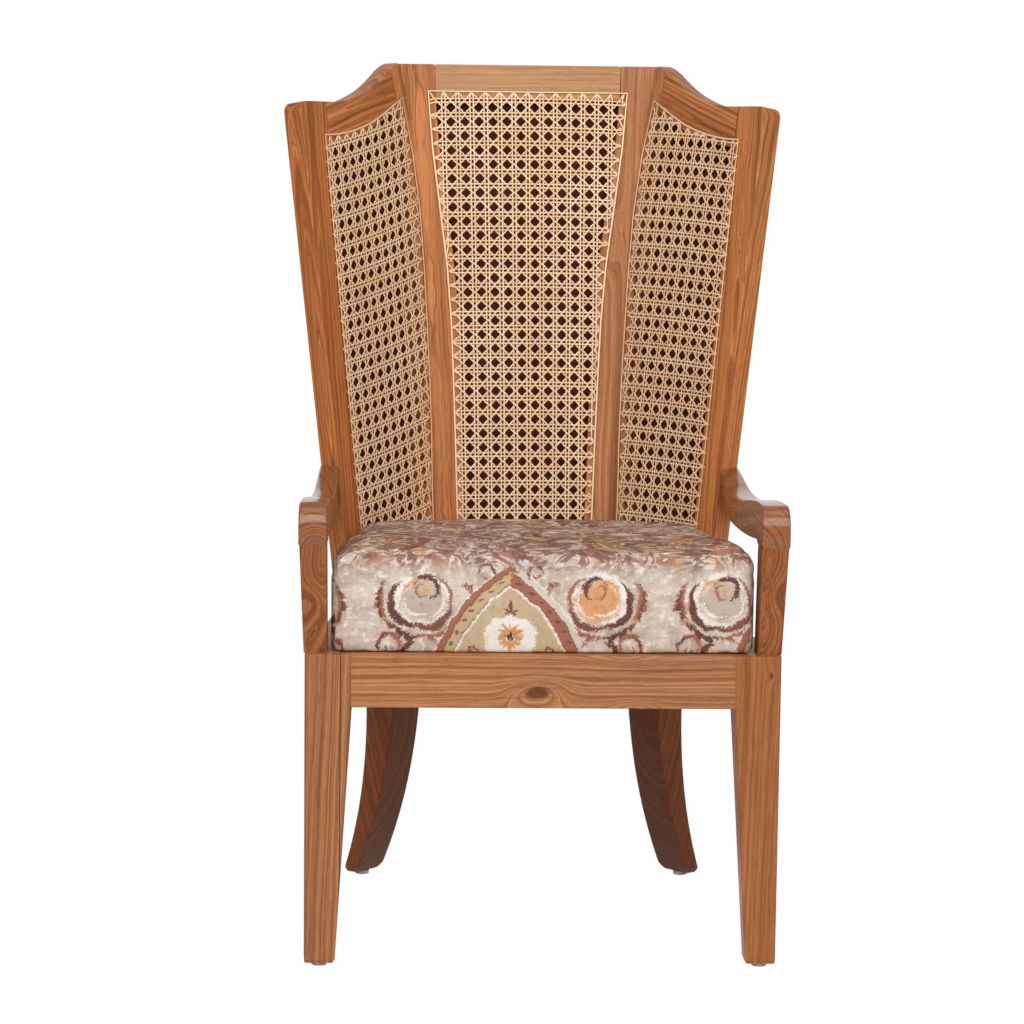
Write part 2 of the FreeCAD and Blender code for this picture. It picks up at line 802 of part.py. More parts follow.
post_top_out = arm_out_front - (arm_out_front - post_out_foot) / 5
arm_post = skin([
    post_section(seat_rail_top, post_in_foot, post_out_foot, post_back_set),
    post_section(arm_joint_height, arm_in_front, post_top_out, knuckle_nose + edge_easing),
])


# Seat board, cleats and corner blocks

board_low = seat_rail_top - board_thick
board_front = seat_rail_thick + board_clear
leg_inside = leg_half_spread - leg_top_width - board_clear
leg_behind = leg_top_width + board_clear
board_side_end = level_wing_point(outer_stile_out, 0, -board_clear).y - board_clear
board_rear_half = stile_edges(seat_rail_top)[1] - stile_facet - board_clear * 4
board_half = [
    Vector(leg_inside, board_front, board_low),
    Vector(leg_inside, leg_behind, board_low),
    Vector(side_inner_x(leg_behind) - board_clear, leg_behind, board_low),
    Vector(side_inner_x(board_side_end) - board_clear, board_side_end, board_low),
    level_wing_point(-board_corner_set, board_low, -board_clear),
    Vector(board_rear_half, centre_root_y - board_clear * 2, board_low),
]
board_outline = board_half + [Vector(-point.x, point.y, point.z) for point in reversed(board_half)]
seat_board = prism(board_outline, UP * board_thick)

cleat_low = board_low - cleat_high
front_cleat = block(
    Vector(-front_cleat_half, seat_rail_thick, cleat_low),
    Vector(front_cleat_half, seat_rail_thick + cleat_wide, board_low),
)
rear_cleat = block(
    Vector(-wing_root_x / 2, centre_root_y - cleat_wide, cleat_low),
    Vector(wing_root_x / 2, centre_root_y, board_low),
)
cleat_start = leg_behind + block_reach
cleat_stop = board_side_end - cleat_wide * 2
side_cleat = prism([
    Vector(side_inner_x(cleat_start), cleat_start, cleat_low),
    Vector(side_inner_x(cleat_stop), cleat_stop, cleat_low),
    Vector(side_inner_x(cleat_stop) - cleat_wide, cleat_stop, cleat_low),
    Vector(side_inner_x(cleat_start) - cleat_wide, cleat_start, cleat_low),
], UP * cleat_high)
corner_cleat = prism([
    level_wing_point(rear_leg_along - rear_leg_top_wide / 2, cleat_low),
    level_wing_point(rear_leg_along + rear_leg_top_wide / 2, cleat_low),
    level_wing_point(rear_leg_along + rear_leg_top_wide / 2, cleat_low, -cleat_wide),
    level_wing_point(rear_leg_along - rear_leg_top_wide / 2, cleat_low, -cleat_wide),
], UP * cleat_high)

leg_face = leg_half_spread - leg_top_width
block_low = board_low - block_high
block_far = leg_top_width + block_reach
corner_block = prism([
    Vector(leg_face - block_reach, seat_rail_thick, block_low),
    Vector(leg_face, seat_rail_thick, block_low),
    Vector(leg_face, leg_top_width, block_low),
    Vector(side_inner_x(leg_top_width), leg_top_width, block_low),
    Vector(side_inner_x(block_far), block_far, block_low),
], UP * (block_high - block_drop))
front_cleat = front_cleat.cut(corner_block).cut(mirrored(corner_block))


def wood_screw(point, way):
    """Countersunk screw: its head at the point, its shank along the way."""
    head = Part.makeCone(screw_head_radius, screw_radius, screw_head_high, point, way)
    shank = Part.makeCylinder(screw_radius, screw_grip * 2, point, way)
    return head.fuse(shank).removeSplitter()


block_mid = block_low + block_high / 2
front_screw_start = Vector(leg_face - block_reach / 3, seat_rail_thick + screw_grip, block_mid)
side_screw_y = leg_top_width + block_reach / 3
side_screw_start = Vector(side_inner_x(side_screw_y) - screw_grip, side_screw_y, block_mid)
screw_access_front = Part.makeCylinder(screw_head_radius, block_reach * 2, front_screw_start, Vector(0, 1, 0))
screw_access_side = Part.makeCylinder(screw_head_radius, block_reach * 2, side_screw_start, Vector(-1, 0, 0))
block_screws = [
    wood_screw(front_screw_start, Vector(0, -1, 0)),
    wood_screw(side_screw_start, Vector(1, 0, 0)),
]
corner_block = corner_block.cut(screw_access_front).cut(screw_access_side)
for screw in block_screws:
    corner_block = corner_block.cut(screw)
    front_rail = front_rail.cut(screw).cut(mirrored(screw))
    side_rail = side_rail.cut(screw)

lap_screws = []
for lift in (-dowel_spread, dowel_spread):
    lap_z = rail_bottom + seat_rail_height / 2 + lift / 2
    start = level_wing_point(rear_leg_along + lift, lap_z, 0)
    lap_screws.append(wood_screw(start, behind))
for screw in lap_screws:
    corner_rail = corner_rail.cut(screw)
    rear_leg = rear_leg.cut(screw)
    corner_cleat = corner_cleat.cut(screw)


# Dowels: each pin sits half in one piece and half in the other

def pin(middle, way):
    """Dowel pin centred on a joint."""
    return Part.makeCylinder(dowel_radius, dowel_half * 2, middle - way * dowel_half, way)


rail_middle = rail_bottom + seat_rail_height / 2
pins_front = [
    pin(Vector(leg_face, seat_rail_thick / 2, rail_middle + lift), Vector(1, 0, 0))
    for lift in (-dowel_spread, dowel_spread)
]
side_way = Vector(side_rear_point.x - side_front_out, side_rear_point.y - leg_top_width, 0).normalize()
side_rail_mid = side_front_out - seat_rail_thick / 2
pins_side = [
    pin(Vector(side_rail_mid, leg_top_width, rail_middle + lift), side_way)
    for lift in (-dowel_spread, dowel_spread)
]
outer_joint_s = outer_stile_in_at(stile_base) - cane_ledge
pins_corner = [
    pin(level_wing_point(outer_joint_s, rail_middle + lift, seat_rail_thick / 2), along)
    for lift in (-dowel_spread, dowel_spread)
]
side_joint = level_wing_point(outer_stile_out, rail_middle, frame_thick / 2)
pins_side_rear = [pin(side_joint + UP * lift, side_way) for lift in (-dowel_spread, dowel_spread)]
rear_joint_x = stile_edges(rail_middle)[0] - cane_ledge
pins_rear = [
    pin(Vector(rear_joint_x, centre_root_y + seat_rail_thick / 2, rail_middle + lift), Vector(1, 0, 0))
    for lift in (-dowel_spread, dowel_spread)
]
top_joint_t = centre_cane_top + top_rail_height / 2 - cane_ledge / 2
pins_top = [
    pin(centre_point(centre_half_at(top_joint_t) - cane_ledge, top_joint_t, frame_thick / 2), Vector(1, 0, 0))
]
low_joint_t = (bottom_rail_low + bottom_rail_top + cane_ledge) / 2
pins_low = [
    pin(centre_point(centre_half_at(low_joint_t) - cane_ledge, low_joint_t, frame_thick / 2), Vector(1, 0, 0)),
    pin(wing_point(wing_in_at(low_joint_t) + cane_ledge, low_joint_t, frame_thick / 2), along),
    pin(wing_point(outer_stile_in_at(low_joint_t) - cane_ledge, low_joint_t, frame_thick / 2), along),
]
outer_top_t = (wing_cane_top_shares[-1][1] + wing_crest_shares[-2][1]) / 2 * rise
inner_top_t = (cane_corner_t + rise) / 2 - cane_ledge
pins_wing_top = [
    pin(wing_point(outer_stile_in_at(rise) - cane_ledge, outer_top_t, frame_thick / 2), along),
    pin(wing_point(wing_in_at(inner_top_t) + cane_ledge, inner_top_t, frame_thick / 2), along),
]

frame_pins = pins_front + pins_side + pins_corner + pins_side_rear + pins_rear
frame_pins += pins_top + pins_low + pins_wing_top

post_foot_middle = Vector((post_in_foot + post_out_foot) / 2, post_back_set + post_depth / 2, seat_rail_top)
post_head_middle = Vector((arm_in_front + post_top_out) / 2, knuckle_nose + post_depth / 2, arm_joint_height)
arm_rear_middle = (rear_in + rear_out) / 2 - UP * ((arm_high_rear - arm_low_rear) / 2)
arm_way = Vector(rear_in.x - arm_in_front, rear_in.y, 0).normalize()
arm_pins = [pin(post_foot_middle, UP), pin(post_head_middle, UP), pin(arm_rear_middle, arm_way)]


def drilled(shape, pins):
    """The piece with its dowel holes."""
    for dowel in pins:
        shape = shape.cut(dowel)
    return shape


# Eased edges, before the dowel holes are drilled

def along_x(edge):
    """True for an edge that runs across the chair."""
    return edge.BoundBox.XLength > leg_half_spread


front_rail = eased(
    front_rail, rail_easing,
    lambda edge: along_x(edge) and edge.BoundBox.ZMin > rail_middle and edge.BoundBox.YMax < edge_easing,
)
arm_post = eased(arm_post, post_easing, lambda edge: edge.BoundBox.ZLength > edge_easing)

rail_pins = pins_front + [mirrored(dowel) for dowel in pins_front]
front_rail = drilled(front_rail, rail_pins)
front_leg = drilled(front_leg, pins_front + pins_side + [arm_pins[0]])
side_rail = drilled(side_rail, pins_side + pins_side_rear)
corner_rail = drilled(corner_rail, pins_corner)
outer_pins = pins_corner + pins_side_rear + pins_low[2:] + pins_wing_top[:1] + arm_pins[2:]
outer_stile = drilled(outer_stile, outer_pins)
inner_stile = drilled(inner_stile, pins_rear + pins_top + pins_low[:2] + pins_wing_top[1:])
rear_rail = drilled(rear_rail, pins_rear + [mirrored(dowel) for dowel in pins_rear])
centre_top_rail = drilled(centre_top_rail, pins_top + [mirrored(dowel) for dowel in pins_top])
centre_bottom_rail = drilled(centre_bottom_rail, pins_low[:1] + [mirrored(pins_low[0])])
wing_bottom_rail = drilled(wing_bottom_rail, pins_low[1:])
wing_top_rail = drilled(wing_top_rail, pins_wing_top)
arm_post = drilled(arm_post, arm_pins[:2])
arm = drilled(arm, arm_pins[1:])


# Cushion: foam core in a fitted cover

cushion_low = seat_rail_top + cushion_clear


def cushion_plan(inset):
    """Corner points of the right half of the cushion, front to rear."""
    side_end = level_wing_point(outer_stile_out, 0, -cushion_wing_gap)
    rear = centre_root_y - cushion_rear_gap
    return [
        Vector(cushion_half_front - inset, cushion_front_back_set + inset, 0),
        Vector(side_end.x - inset, side_end.y - cushion_corner / 2 - inset / 2, 0),
        Vector(cushion_half_rear - inset / 2, rear - inset, 0),
    ]


def cushion_outline(z, inset):
    """Outline of the cushion at a height: drawn-in edges and round corners."""
    half = cushion_plan(inset)
    points = half + [Vector(-point.x, point.y, 0) for point in reversed(half)]
    middle = Vector(0, sum(point.y for point in points) / len(points), 0)
    ends = []
    for index, corner in enumerate(points):
        before = (points[index - 1] - corner).normalize()
        after = (points[(index + 1) % len(points)] - corner).normalize()
        start = corner + before * cushion_corner
        stop = corner + after * cushion_corner
        bend = corner * cushion_corner_pull + (start + stop) * ((1 - cushion_corner_pull) / 2)
        ends.append((start, bend, stop))
    edges = []
    lift = Vector(0, 0, z)
    for index, (start, bend, stop) in enumerate(ends):
        edges.append(Part.Arc(start + lift, bend + lift, stop + lift).toShape())
        following = ends[(index + 1) % len(ends)][0]
        halfway = (stop + following) / 2
        inward = (middle - halfway).normalize() * cushion_draw
        edges.append(Part.Arc(stop + lift, halfway + inward + lift, following + lift).toShape())
    return Part.Wire(edges)


# height and inset of each outline, as shares of the cushion's height
cushion_side_shares = [
    (0.0, 0.055), (0.06, 0.012), (0.22, 0.0), (0.62, 0.0),
    (0.80, 0.018), (0.92, 0.075), (0.975, 0.17), (1.0, 0.34),
]
crown_shares = [(0.6, 0.75), (1.0, 1.30)]
side_height = cushion_height - cushion_crown
cushion_lines = [
    cushion_outline(cushion_low + high * side_height, inset * cushion_height)
    for high, inset in cushion_side_shares
]
cushion_lines += [
    cushion_outline(cushion_low + side_height + high * cushion_crown, inset * cushion_height)
    for high, inset in crown_shares
]
seat_cushion = Part.makeLoft(cushion_lines, True, True)
foam_low = cushion_low + foam_inset / 3
foam_high = cushion_low + side_height - foam_inset
seat_foam = Part.Face(cushion_outline(foam_low, foam_inset * 2)).extrude(UP * (foam_high - foam_low))
seat_cushion = seat_cushion.cut(seat_foam)


# Every piece by name

parts["front_seat_rail"] = front_rail
parts["rear_seat_rail"] = rear_rail
parts["centre_top_rail"] = centre_top_rail
parts["centre_bottom_rail"] = centre_bottom_rail
parts["seat_board"] = seat_board
parts["seat_cushion"] = seat_cushion
parts["seat_foam"] = seat_foam

paired = {
    "front_leg": front_leg,
    "rear_leg": rear_leg,
    "side_seat_rail": side_rail,
    "corner_seat_rail": corner_rail,
    "inner_stile": inner_stile,
    "outer_stile": outer_stile,
    "wing_top_rail": wing_top_rail,
    "wing_bottom_rail": wing_bottom_rail,
    "arm": arm,
    "arm_post": arm_post,
    "cane_wing": cane_wing,
    "binder_wing": binder_wing,
    "back_board_wing": back_board_wing,
    "corner_block": corner_block,
    "front_glide": front_glide,
    "rear_glide": rear_glide,
}
for name, shape in paired.items():
    for side, sign in SIDES:
        parts[name + "_" + side] = shape if sign > 0 else mirrored(shape)


def both_sides(shapes):
    """A group of like solids, with its mirror image."""
    return Part.makeCompound(shapes + [mirrored(shape) for shape in shapes])


parts["seat_cleats"] = Part.makeCompound([
    front_cleat, rear_cleat, side_cleat, mirrored(side_cleat), corner_cleat, mirrored(corner_cleat),
])
parts["block_screws"] = both_sides(block_screws)
parts["rear_leg_screws"] = both_sides(lap_screws)
parts["frame_dowels"] = both_sides(frame_pins)
parts["arm_dowels"] = both_sides(arm_pins)

standing = [shape.optimalBoundingBox(False, False) for shape in parts.values()]
middle_y = (min(box.YMin for box in standing) + max(box.YMax for box in standing)) / 2
for name, shape in parts.items():
    placed = shape.copy()
    placed.translate(Vector(0, -middle_y, 0))
    placed.exportStep("parts/" + name + ".step")
print("pieces:", len(parts), "middle depth:", round(middle_y, 2))
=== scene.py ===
import math

import bmesh
import bpy
import numpy as np
from mathutils import Matrix, Vector
from mathutils.bvhtree import BVHTree


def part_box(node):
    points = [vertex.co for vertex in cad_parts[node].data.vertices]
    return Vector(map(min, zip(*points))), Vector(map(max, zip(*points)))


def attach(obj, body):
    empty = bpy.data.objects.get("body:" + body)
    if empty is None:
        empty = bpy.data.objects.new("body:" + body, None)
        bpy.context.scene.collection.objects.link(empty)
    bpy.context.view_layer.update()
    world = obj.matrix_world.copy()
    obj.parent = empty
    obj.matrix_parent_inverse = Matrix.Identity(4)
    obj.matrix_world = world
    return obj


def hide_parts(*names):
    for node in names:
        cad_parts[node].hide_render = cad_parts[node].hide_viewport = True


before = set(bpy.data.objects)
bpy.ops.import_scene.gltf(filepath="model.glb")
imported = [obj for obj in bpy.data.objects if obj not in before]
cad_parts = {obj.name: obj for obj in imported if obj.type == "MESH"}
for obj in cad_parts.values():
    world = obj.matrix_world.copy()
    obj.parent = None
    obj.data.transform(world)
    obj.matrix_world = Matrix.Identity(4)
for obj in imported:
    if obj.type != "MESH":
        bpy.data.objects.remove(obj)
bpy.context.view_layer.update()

scene = bpy.context.scene
scene.view_settings.view_transform = "Standard"


# The studio: a pale floor that runs up into a backdrop, soft boxes in front and
# to the sides, a small top light and an even room. Paper and room show as white, and
# the paper's back is clear, so that the chair is seen from behind too.

class Wire:
    """A socket of a material, so that its maths is written as plain sums."""

    def __init__(self, tree, socket=None):
        self.tree = tree
        self.socket = socket

    def node(self, kind, settings=None, inputs=None, output=0):
        """Any other node: its settings first, then the values or links of its sockets."""
        made = self.tree.nodes.new("ShaderNode" + kind)
        for key, value in (settings or {}).items():
            setattr(made, key, value)
        for key, value in (inputs or {}).items():
            if isinstance(value, Wire):
                self.tree.links.new(value.socket, made.inputs[key])
            else:
                made.inputs[key].default_value = value
        return Wire(self.tree, made.outputs[output])

    def math(self, operation, *values):
        return self.node("Math", {"operation": operation}, dict(enumerate(values)))

    def __add__(self, other):
        return self.math("ADD", self, other)

    def __mul__(self, other):
        return self.math("MULTIPLY", self, other)

    def __sub__(self, other):
        return self.math("SUBTRACT", self, other)

    def __rsub__(self, other):
        return self.math("SUBTRACT", other, self)

    def __truediv__(self, other):
        return self.math("DIVIDE", self, other)

    __radd__ = __add__
    __rmul__ = __mul__

    def vector(self, operation, *values, output=0):
        return self.node("VectorMath", {"operation": operation}, dict(enumerate(values)), output)

    def between(self, low, high):
        """0 below low, 1 above high, smooth between."""
        return self.node("MapRange", {"interpolation_type": "SMOOTHSTEP"}, {0: self, 1: low, 2: high})

    def tint(self, base, top, blend="MIX"):
        """This mask lays the colour top over the colour base."""
        return self.node("Mix", {"data_type": "RGBA", "blend_type": blend}, {0: self, 6: base, 7: top}, 2)

    def noise(self, scale, detail=2.0, roughness=0.5, distortion=0.0, output=0):
        """Noise at this vector."""
        inputs = {"Vector": self, "Scale": scale, "Detail": detail, "Roughness": roughness}
        return self.node("TexNoise", None, {**inputs, "Distortion": distortion}, output)


def srgb(red, green, blue):
    """A colour read off as 0 to 255."""
    shares = [value / 255 for value in (red, green, blue)]
    linear = [s / 12.92 if s < 0.04045 else ((s + 0.055) / 1.055) ** 2.4 for s in shares]
    return (*linear, 1.0)


def new_material(name):
    """An empty material with its shader and a wire to start from."""
    material = bpy.data.materials.new(name)
    material.use_nodes = True
    material.node_tree.nodes.clear()
    out = material.node_tree.nodes.new("ShaderNodeOutputMaterial")
    return material, Wire(material.node_tree), out


def surface(wire, out, inputs, bump=None, depth=0.0):
    """Principled shader with these inputs and a bump of this depth in metres."""
    if bump is not None:
        inputs["Normal"] = wire.node("Bump", None, {"Strength": 1.0, "Distance": depth, "Height": bump})
    shader = wire.node("BsdfPrincipled", None, inputs)
    wire.tree.links.new(shader.socket, out.inputs["Surface"])


def placed(name, mesh):
    """An object at the origin that holds a mesh."""
    piece = bpy.data.objects.new(name, mesh)
    scene.collection.objects.link(piece)
    return piece


floor_half, wall_back, wall_height, cove, cove_steps = 3.0, 2.6, 3.0, 0.9, 16
bm = bmesh.new()
bmesh.ops.create_grid(bm, x_segments=1, y_segments=1, size=floor_half)
for vert in bm.verts:
    if vert.co.y > 0:
        vert.co.y = wall_back - cove
rear = [edge for edge in bm.edges if all(v.co.y > 0 for v in edge.verts)]
bmesh.ops.spin(
    bm, geom=rear, cent=(0, wall_back - cove, cove), axis=(1, 0, 0), angle=math.pi / 2, steps=cove_steps,
)
top = [edge for edge in bm.edges if all(v.co.z > cove - 0.001 for v in edge.verts)]
risen = bmesh.ops.extrude_edge_only(bm, edges=top)["geom"]
raised = [item for item in risen if isinstance(item, bmesh.types.BMVert)]
bmesh.ops.translate(bm, verts=raised, vec=(0, 0, wall_height))
bmesh.ops.recalc_face_normals(bm, faces=bm.faces)
lowest = min(bm.faces, key=lambda face: face.calc_center_median().z)
if lowest.normal.z < 0:
    bmesh.ops.reverse_faces(bm, faces=bm.faces)
for face in bm.faces:
    face.smooth = True
backdrop_mesh = bpy.data.meshes.new("backdrop")
bm.to_mesh(backdrop_mesh)
bm.free()
backdrop = placed("backdrop", backdrop_mesh)

material, wire, out = new_material("paper_backdrop")
seen = wire.node("LightPath", output="Is Camera Ray")
glossy = wire.node("LightPath", output="Is Glossy Ray")
through = wire.node("LightPath", output="Is Transmission Ray")
paper_white_share = 0.985
paper = wire.node("BsdfDiffuse", None, {"Color": (0.62, 0.62, 0.62, 1.0)})
glow = wire.node("Emission", None, {"Color": (1.0, 1.0, 1.0, 1.0), "Strength": 1.0})
mixed = wire.node("MixShader", None, {
    0: seen.math("MAXIMUM", seen, glossy.math("MAXIMUM", glossy, through)) * paper_white_share,
    1: paper, 2: glow,
})
behind = wire.node("NewGeometry", output="Backfacing")
one_sided = wire.node("MixShader", None, {0: behind, 1: mixed, 2: wire.node("BsdfTransparent")})
material.node_tree.links.new(one_sided.socket, out.inputs["Surface"])
backdrop_mesh.materials.append(material)

room = bpy.data.worlds.new("room")
scene.world = room
room.use_nodes = True
room.node_tree.nodes.clear()
wire = Wire(room.node_tree)
room_light = 0.30
shown = wire.node("LightPath", output="Is Camera Ray") * (1.0 - room_light) + room_light
air = wire.node("Background", None, {"Color": (1.0, 1.0, 1.0, 1.0), "Strength": shown})
room_out = room.node_tree.nodes.new("ShaderNodeOutputWorld")
room.node_tree.links.new(air.socket, room_out.inputs["Surface"])


def soft_box(name, place, target, wide, high, power):
    """A rectangular studio light that faces a point."""
    light = bpy.data.lights.new(name, "AREA")
    light.shape = "RECTANGLE"
    light.size, light.size_y, light.energy = wide, high, power
    lamp = bpy.data.objects.new(name, light)
    lamp.location = place
    lamp.rotation_euler = (Vector(target) - Vector(place)).to_track_quat("-Z", "Y").to_euler()
    scene.collection.objects.link(lamp)


chair_middle = (0, 0, 0.6)
soft_box("key_light", (-1.7, -2.6, 2.2), chair_middle, 1.0, 1.4, 38)
soft_box("fill_light", (1.9, -2.5, 1.9), chair_middle, 1.0, 1.4, 32)
soft_box("front_light", (-0.1, -3.9, 3.0), (0, -0.3, 0.6), 2.6, 2.2, 74)
soft_box("top_light", (0.0, -0.9, 2.9), (0, 0, 0.4), 1.6, 1.0, 8)

# The camera stands a little to the left of the middle and looks slightly down.
camera_place = (-0.1962, -4.3189, 0.9417)
yaw, pitch, roll = math.radians(2.242), math.radians(-5.539), math.radians(0.637)
ahead = Vector((math.sin(yaw) * math.cos(pitch), math.cos(yaw) * math.cos(pitch), math.sin(pitch)))
level = Vector((math.cos(yaw), -math.sin(yaw), 0))
over = level.cross(ahead)
right = math.cos(roll) * level + math.sin(roll) * over
up = -math.sin(roll) * level + math.cos(roll) * over
lens = bpy.data.cameras.new("camera")
lens.lens, lens.sensor_width = 117.8, 36.0
camera = bpy.data.objects.new("camera", lens)
camera.matrix_world = Matrix.Translation(camera_place) @ Matrix((right, up, -ahead)).transposed().to_4x4()
scene.collection.objects.link(camera)
scene.camera = camera


# Front rail of the seat: one straight teak rail, doweled between the legs, its
# upper edge well rounded. It carries the chair's one knot, near the middle.

def teak(
    name, along, pith, light, dark, ring=0.0050, wander=0.014, knots=(), bands=0.5, gloss=0.12, seam=None,
):
    """Lacquered teak: growth rings round a pith line, cut as the piece lies beside it.

    ring is the spacing of the rings, wander how far they sway, and bands how strong
    the dark heartwood is. A knot is its place, its reach, how far it lifts the rings,
    its length along the grain for its width, and how dark its heart is. seam is
    where, across the chair, a glue line shows.
    """
    material, wire, out = new_material(name)
    turned = Vector((0, 0, 1)).rotation_difference(Vector(along)).to_euler()
    here = wire.node("TexCoord", output="Object")
    cut = here.node(
        "Mapping", {"vector_type": "TEXTURE"}, {"Vector": here, "Location": pith, "Rotation": turned},
    )
    slow = cut.vector("MULTIPLY", cut, (1.0, 1.0, 0.22))
    swayed = cut.vector("MULTIPLY_ADD", slow.noise(8.0, 1.5, 0.5, output=1), (wander, wander, 0.0), cut)
    ripple = cut.vector("MULTIPLY", cut, (1.0, 1.0, 0.30)).noise(42.0, 2.0, 0.5, output=1)
    swayed = swayed.vector("MULTIPLY_ADD", ripple, (0.0045, 0.0045, 0.0), swayed)
    radius = swayed.vector("LENGTH", swayed.vector("MULTIPLY", swayed, (1.0, 1.0, 0.0)), output=1)
    hearts = None
    for spot, reach, lift, stretch, darkness in knots:
        centre = turned.to_matrix().transposed() @ (Vector(spot) - Vector(pith))
        flat = cut.vector("MULTIPLY_ADD", ripple, (0.006, 0.006, 0.006 * stretch), cut)
        away = flat.vector("SUBTRACT", flat, tuple(centre + Vector((0.003, 0.003, 0.003 * stretch))))
        away = away.vector("LENGTH", away.vector("MULTIPLY", away, (1.0, 1.0, 1 / stretch)), output=1)
        near = (away * (1 / reach)).math("POWER", away * (1 / reach), 2.0)
        radius = radius + near.math("EXPONENT", near * -1.0) * lift
        heart = near.math("EXPONENT", near * -2.5) * (darkness * 1.25)
        hearts = heart if hearts is None else hearts.math("MAXIMUM", hearts, heart)
    even = radius / ring
    growth = even.node("TexNoise", {"noise_dimensions": "1D"}, {"W": even, "Detail": 1.7, "Roughness": 0.5})
    hair = even.node("TexNoise", {"noise_dimensions": "1D"}, {"W": even * 2.6 + 31.0, "Detail": 2.0})
    heartwood = even.node("TexNoise", {"noise_dimensions": "1D"}, {"W": even * 0.40 + 7.0, "Detail": 2.0})
    line = growth - 0.5
    late = 1.0 - line.math("ABSOLUTE", line).between(0.0, 0.050)
    thin = hair - 0.5
    late = late.math("MAXIMUM", late, (1.0 - thin.math("ABSOLUTE", thin).between(0.0, 0.05)) * 0.24)
    late = late * (slow.noise(26.0, 2.0, 0.5).between(0.36, 0.62) * 0.8 + 0.2)
    streaks = cut.vector("MULTIPLY", cut, (1.0, 1.0, 0.02)).noise(560.0, 3.0, 0.65)
    pores = cut.vector("MULTIPLY", cut, (1.0, 1.0, 0.05)).noise(1300.0, 2.0, 0.6).between(0.58, 0.68)
    cloud = slow.noise(14.0, 3.0, 0.55)
    deep = tuple(part * 0.55 for part in dark[:3]) + (1.0,)
    colour = (heartwood.between(0.40, 0.66) * bands).tint(light, dark)
    colour = (growth.between(0.46, 0.66) * 0.34).tint(colour, dark)
    colour = (late * 0.62).tint(colour, dark)
    colour = (late.between(0.5, 1.0) * 0.26).tint(colour, deep)
    colour = (streaks.between(0.44, 0.72) * 0.42).tint(colour, dark)
    colour = (pores * 0.28).tint(colour, deep)
    shade = cloud.between(0.25, 0.75) * 0.30 + 0.84
    grey = shade.node("CombineColor", None, {0: shade, 1: shade, 2: shade})
    colour = colour.node(
        "Mix", {"data_type": "RGBA", "blend_type": "MULTIPLY"}, {0: 1.0, 6: colour, 7: grey}, 2,
    )
    if hearts is not None:
        colour = (hearts.between(0.35, 0.95) * 0.85).tint(colour, deep)
    if seam is not None:
        beside = here.vector("DOT_PRODUCT", here, (1.0, 0.0, 0.0), output=1) - seam
        colour = (1.0 - beside.math("ABSOLUTE", beside).between(0.0003, 0.0008)).tint(colour, deep)
    surface(wire, out, {
        "Base Color": colour, "Roughness": 0.42 + streaks * 0.14,
        "Coat Weight": gloss, "Coat Roughness": 0.12, "Specular IOR Level": 0.10,
    }, bump=pores * -1.0 + late * -0.3, depth=0.00016)
    return material


wood_nodes = [
    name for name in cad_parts
    if not name.startswith(("cane", "binder", "seat_cushion", "seat_foam"))
]
wood_trees = {}
for name in wood_nodes:
    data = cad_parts[name].data
    corners = [vert.co for vert in data.vertices]
    wood_trees[name] = BVHTree.FromPolygons(corners, [face.vertices for face in data.polygons])


def in_joint(edge, others, reach=0.0005):
    """True where an edge lies against another piece for most of its length."""
    low, high = (vert.co for vert in edge.verts)
    hits = 0
    for share in (0.15, 0.5, 0.85):
        point = low.lerp(high, share)
        hits += any(tree.find_nearest(point, reach)[0] is not None for tree in others)
    return hits >= 2


def wooden(node, material, easing=0.0013, steps=2, foot=0.0):
    """The CAD piece with its free edges rounded; the edges inside a joint stay tight."""
    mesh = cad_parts[node].data.copy()
    mesh.materials.clear()
    mesh.materials.append(material)
    low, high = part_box(node)
    others = []
    for name, tree in wood_trees.items():
        near_low, near_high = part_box(name)
        apart = any(near_low[k] > high[k] + 0.001 or near_high[k] < low[k] - 0.001 for k in range(3))
        if name != node and not apart:
            others.append(tree)
    bm = bmesh.new()
    bm.from_mesh(mesh)
    bmesh.ops.remove_doubles(bm, verts=bm.verts, dist=0.00001)
    bmesh.ops.dissolve_limit(bm, angle_limit=math.radians(0.4), verts=bm.verts, edges=bm.edges)
    if foot:
        lowest = min(vert.co.z for vert in bm.verts)
        for share in (1.0, 0.62, 0.3):
            bmesh.ops.bisect_plane(
                bm, geom=bm.verts[:] + bm.edges[:] + bm.faces[:], dist=0.00001,
                plane_co=(0, 0, lowest + foot * share), plane_no=(0, 0, 1),
            )
        ends = [vert for vert in bm.verts if vert.co.z < lowest + foot]
        middle = sum((vert.co for vert in ends), Vector()) / len(ends)
        for vert in ends:
            share = 1 - (vert.co.z - lowest) / foot
            inward = Vector((middle.x - vert.co.x, middle.y - vert.co.y, 0)).normalized()
            vert.co += inward * foot * 0.9 * (1 - math.sqrt(1 - share * share))
    sharp = [edge for edge in bm.edges if edge.is_manifold and edge.calc_face_angle() > math.radians(32)]
    free = [edge for edge in sharp if not in_joint(edge, others)]
    bmesh.ops.bevel(
        bm, geom=free, offset=easing, offset_type="OFFSET", segments=steps,
        profile=0.5, affect="EDGES", material=-1, clamp_overlap=False,
    )
    for face in bm.faces:
        face.smooth = True
    for edge in bm.edges:
        edge.smooth = edge.is_manifold and edge.calc_face_angle() < math.radians(40)
    bm.to_mesh(mesh)
    bm.free()
    piece = placed(node + "_wood", mesh)
    weighted = piece.modifiers.new("even_faces", "WEIGHTED_NORMAL")
    weighted.keep_sharp = True
    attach(piece, "root")
    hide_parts(node)
    return piece


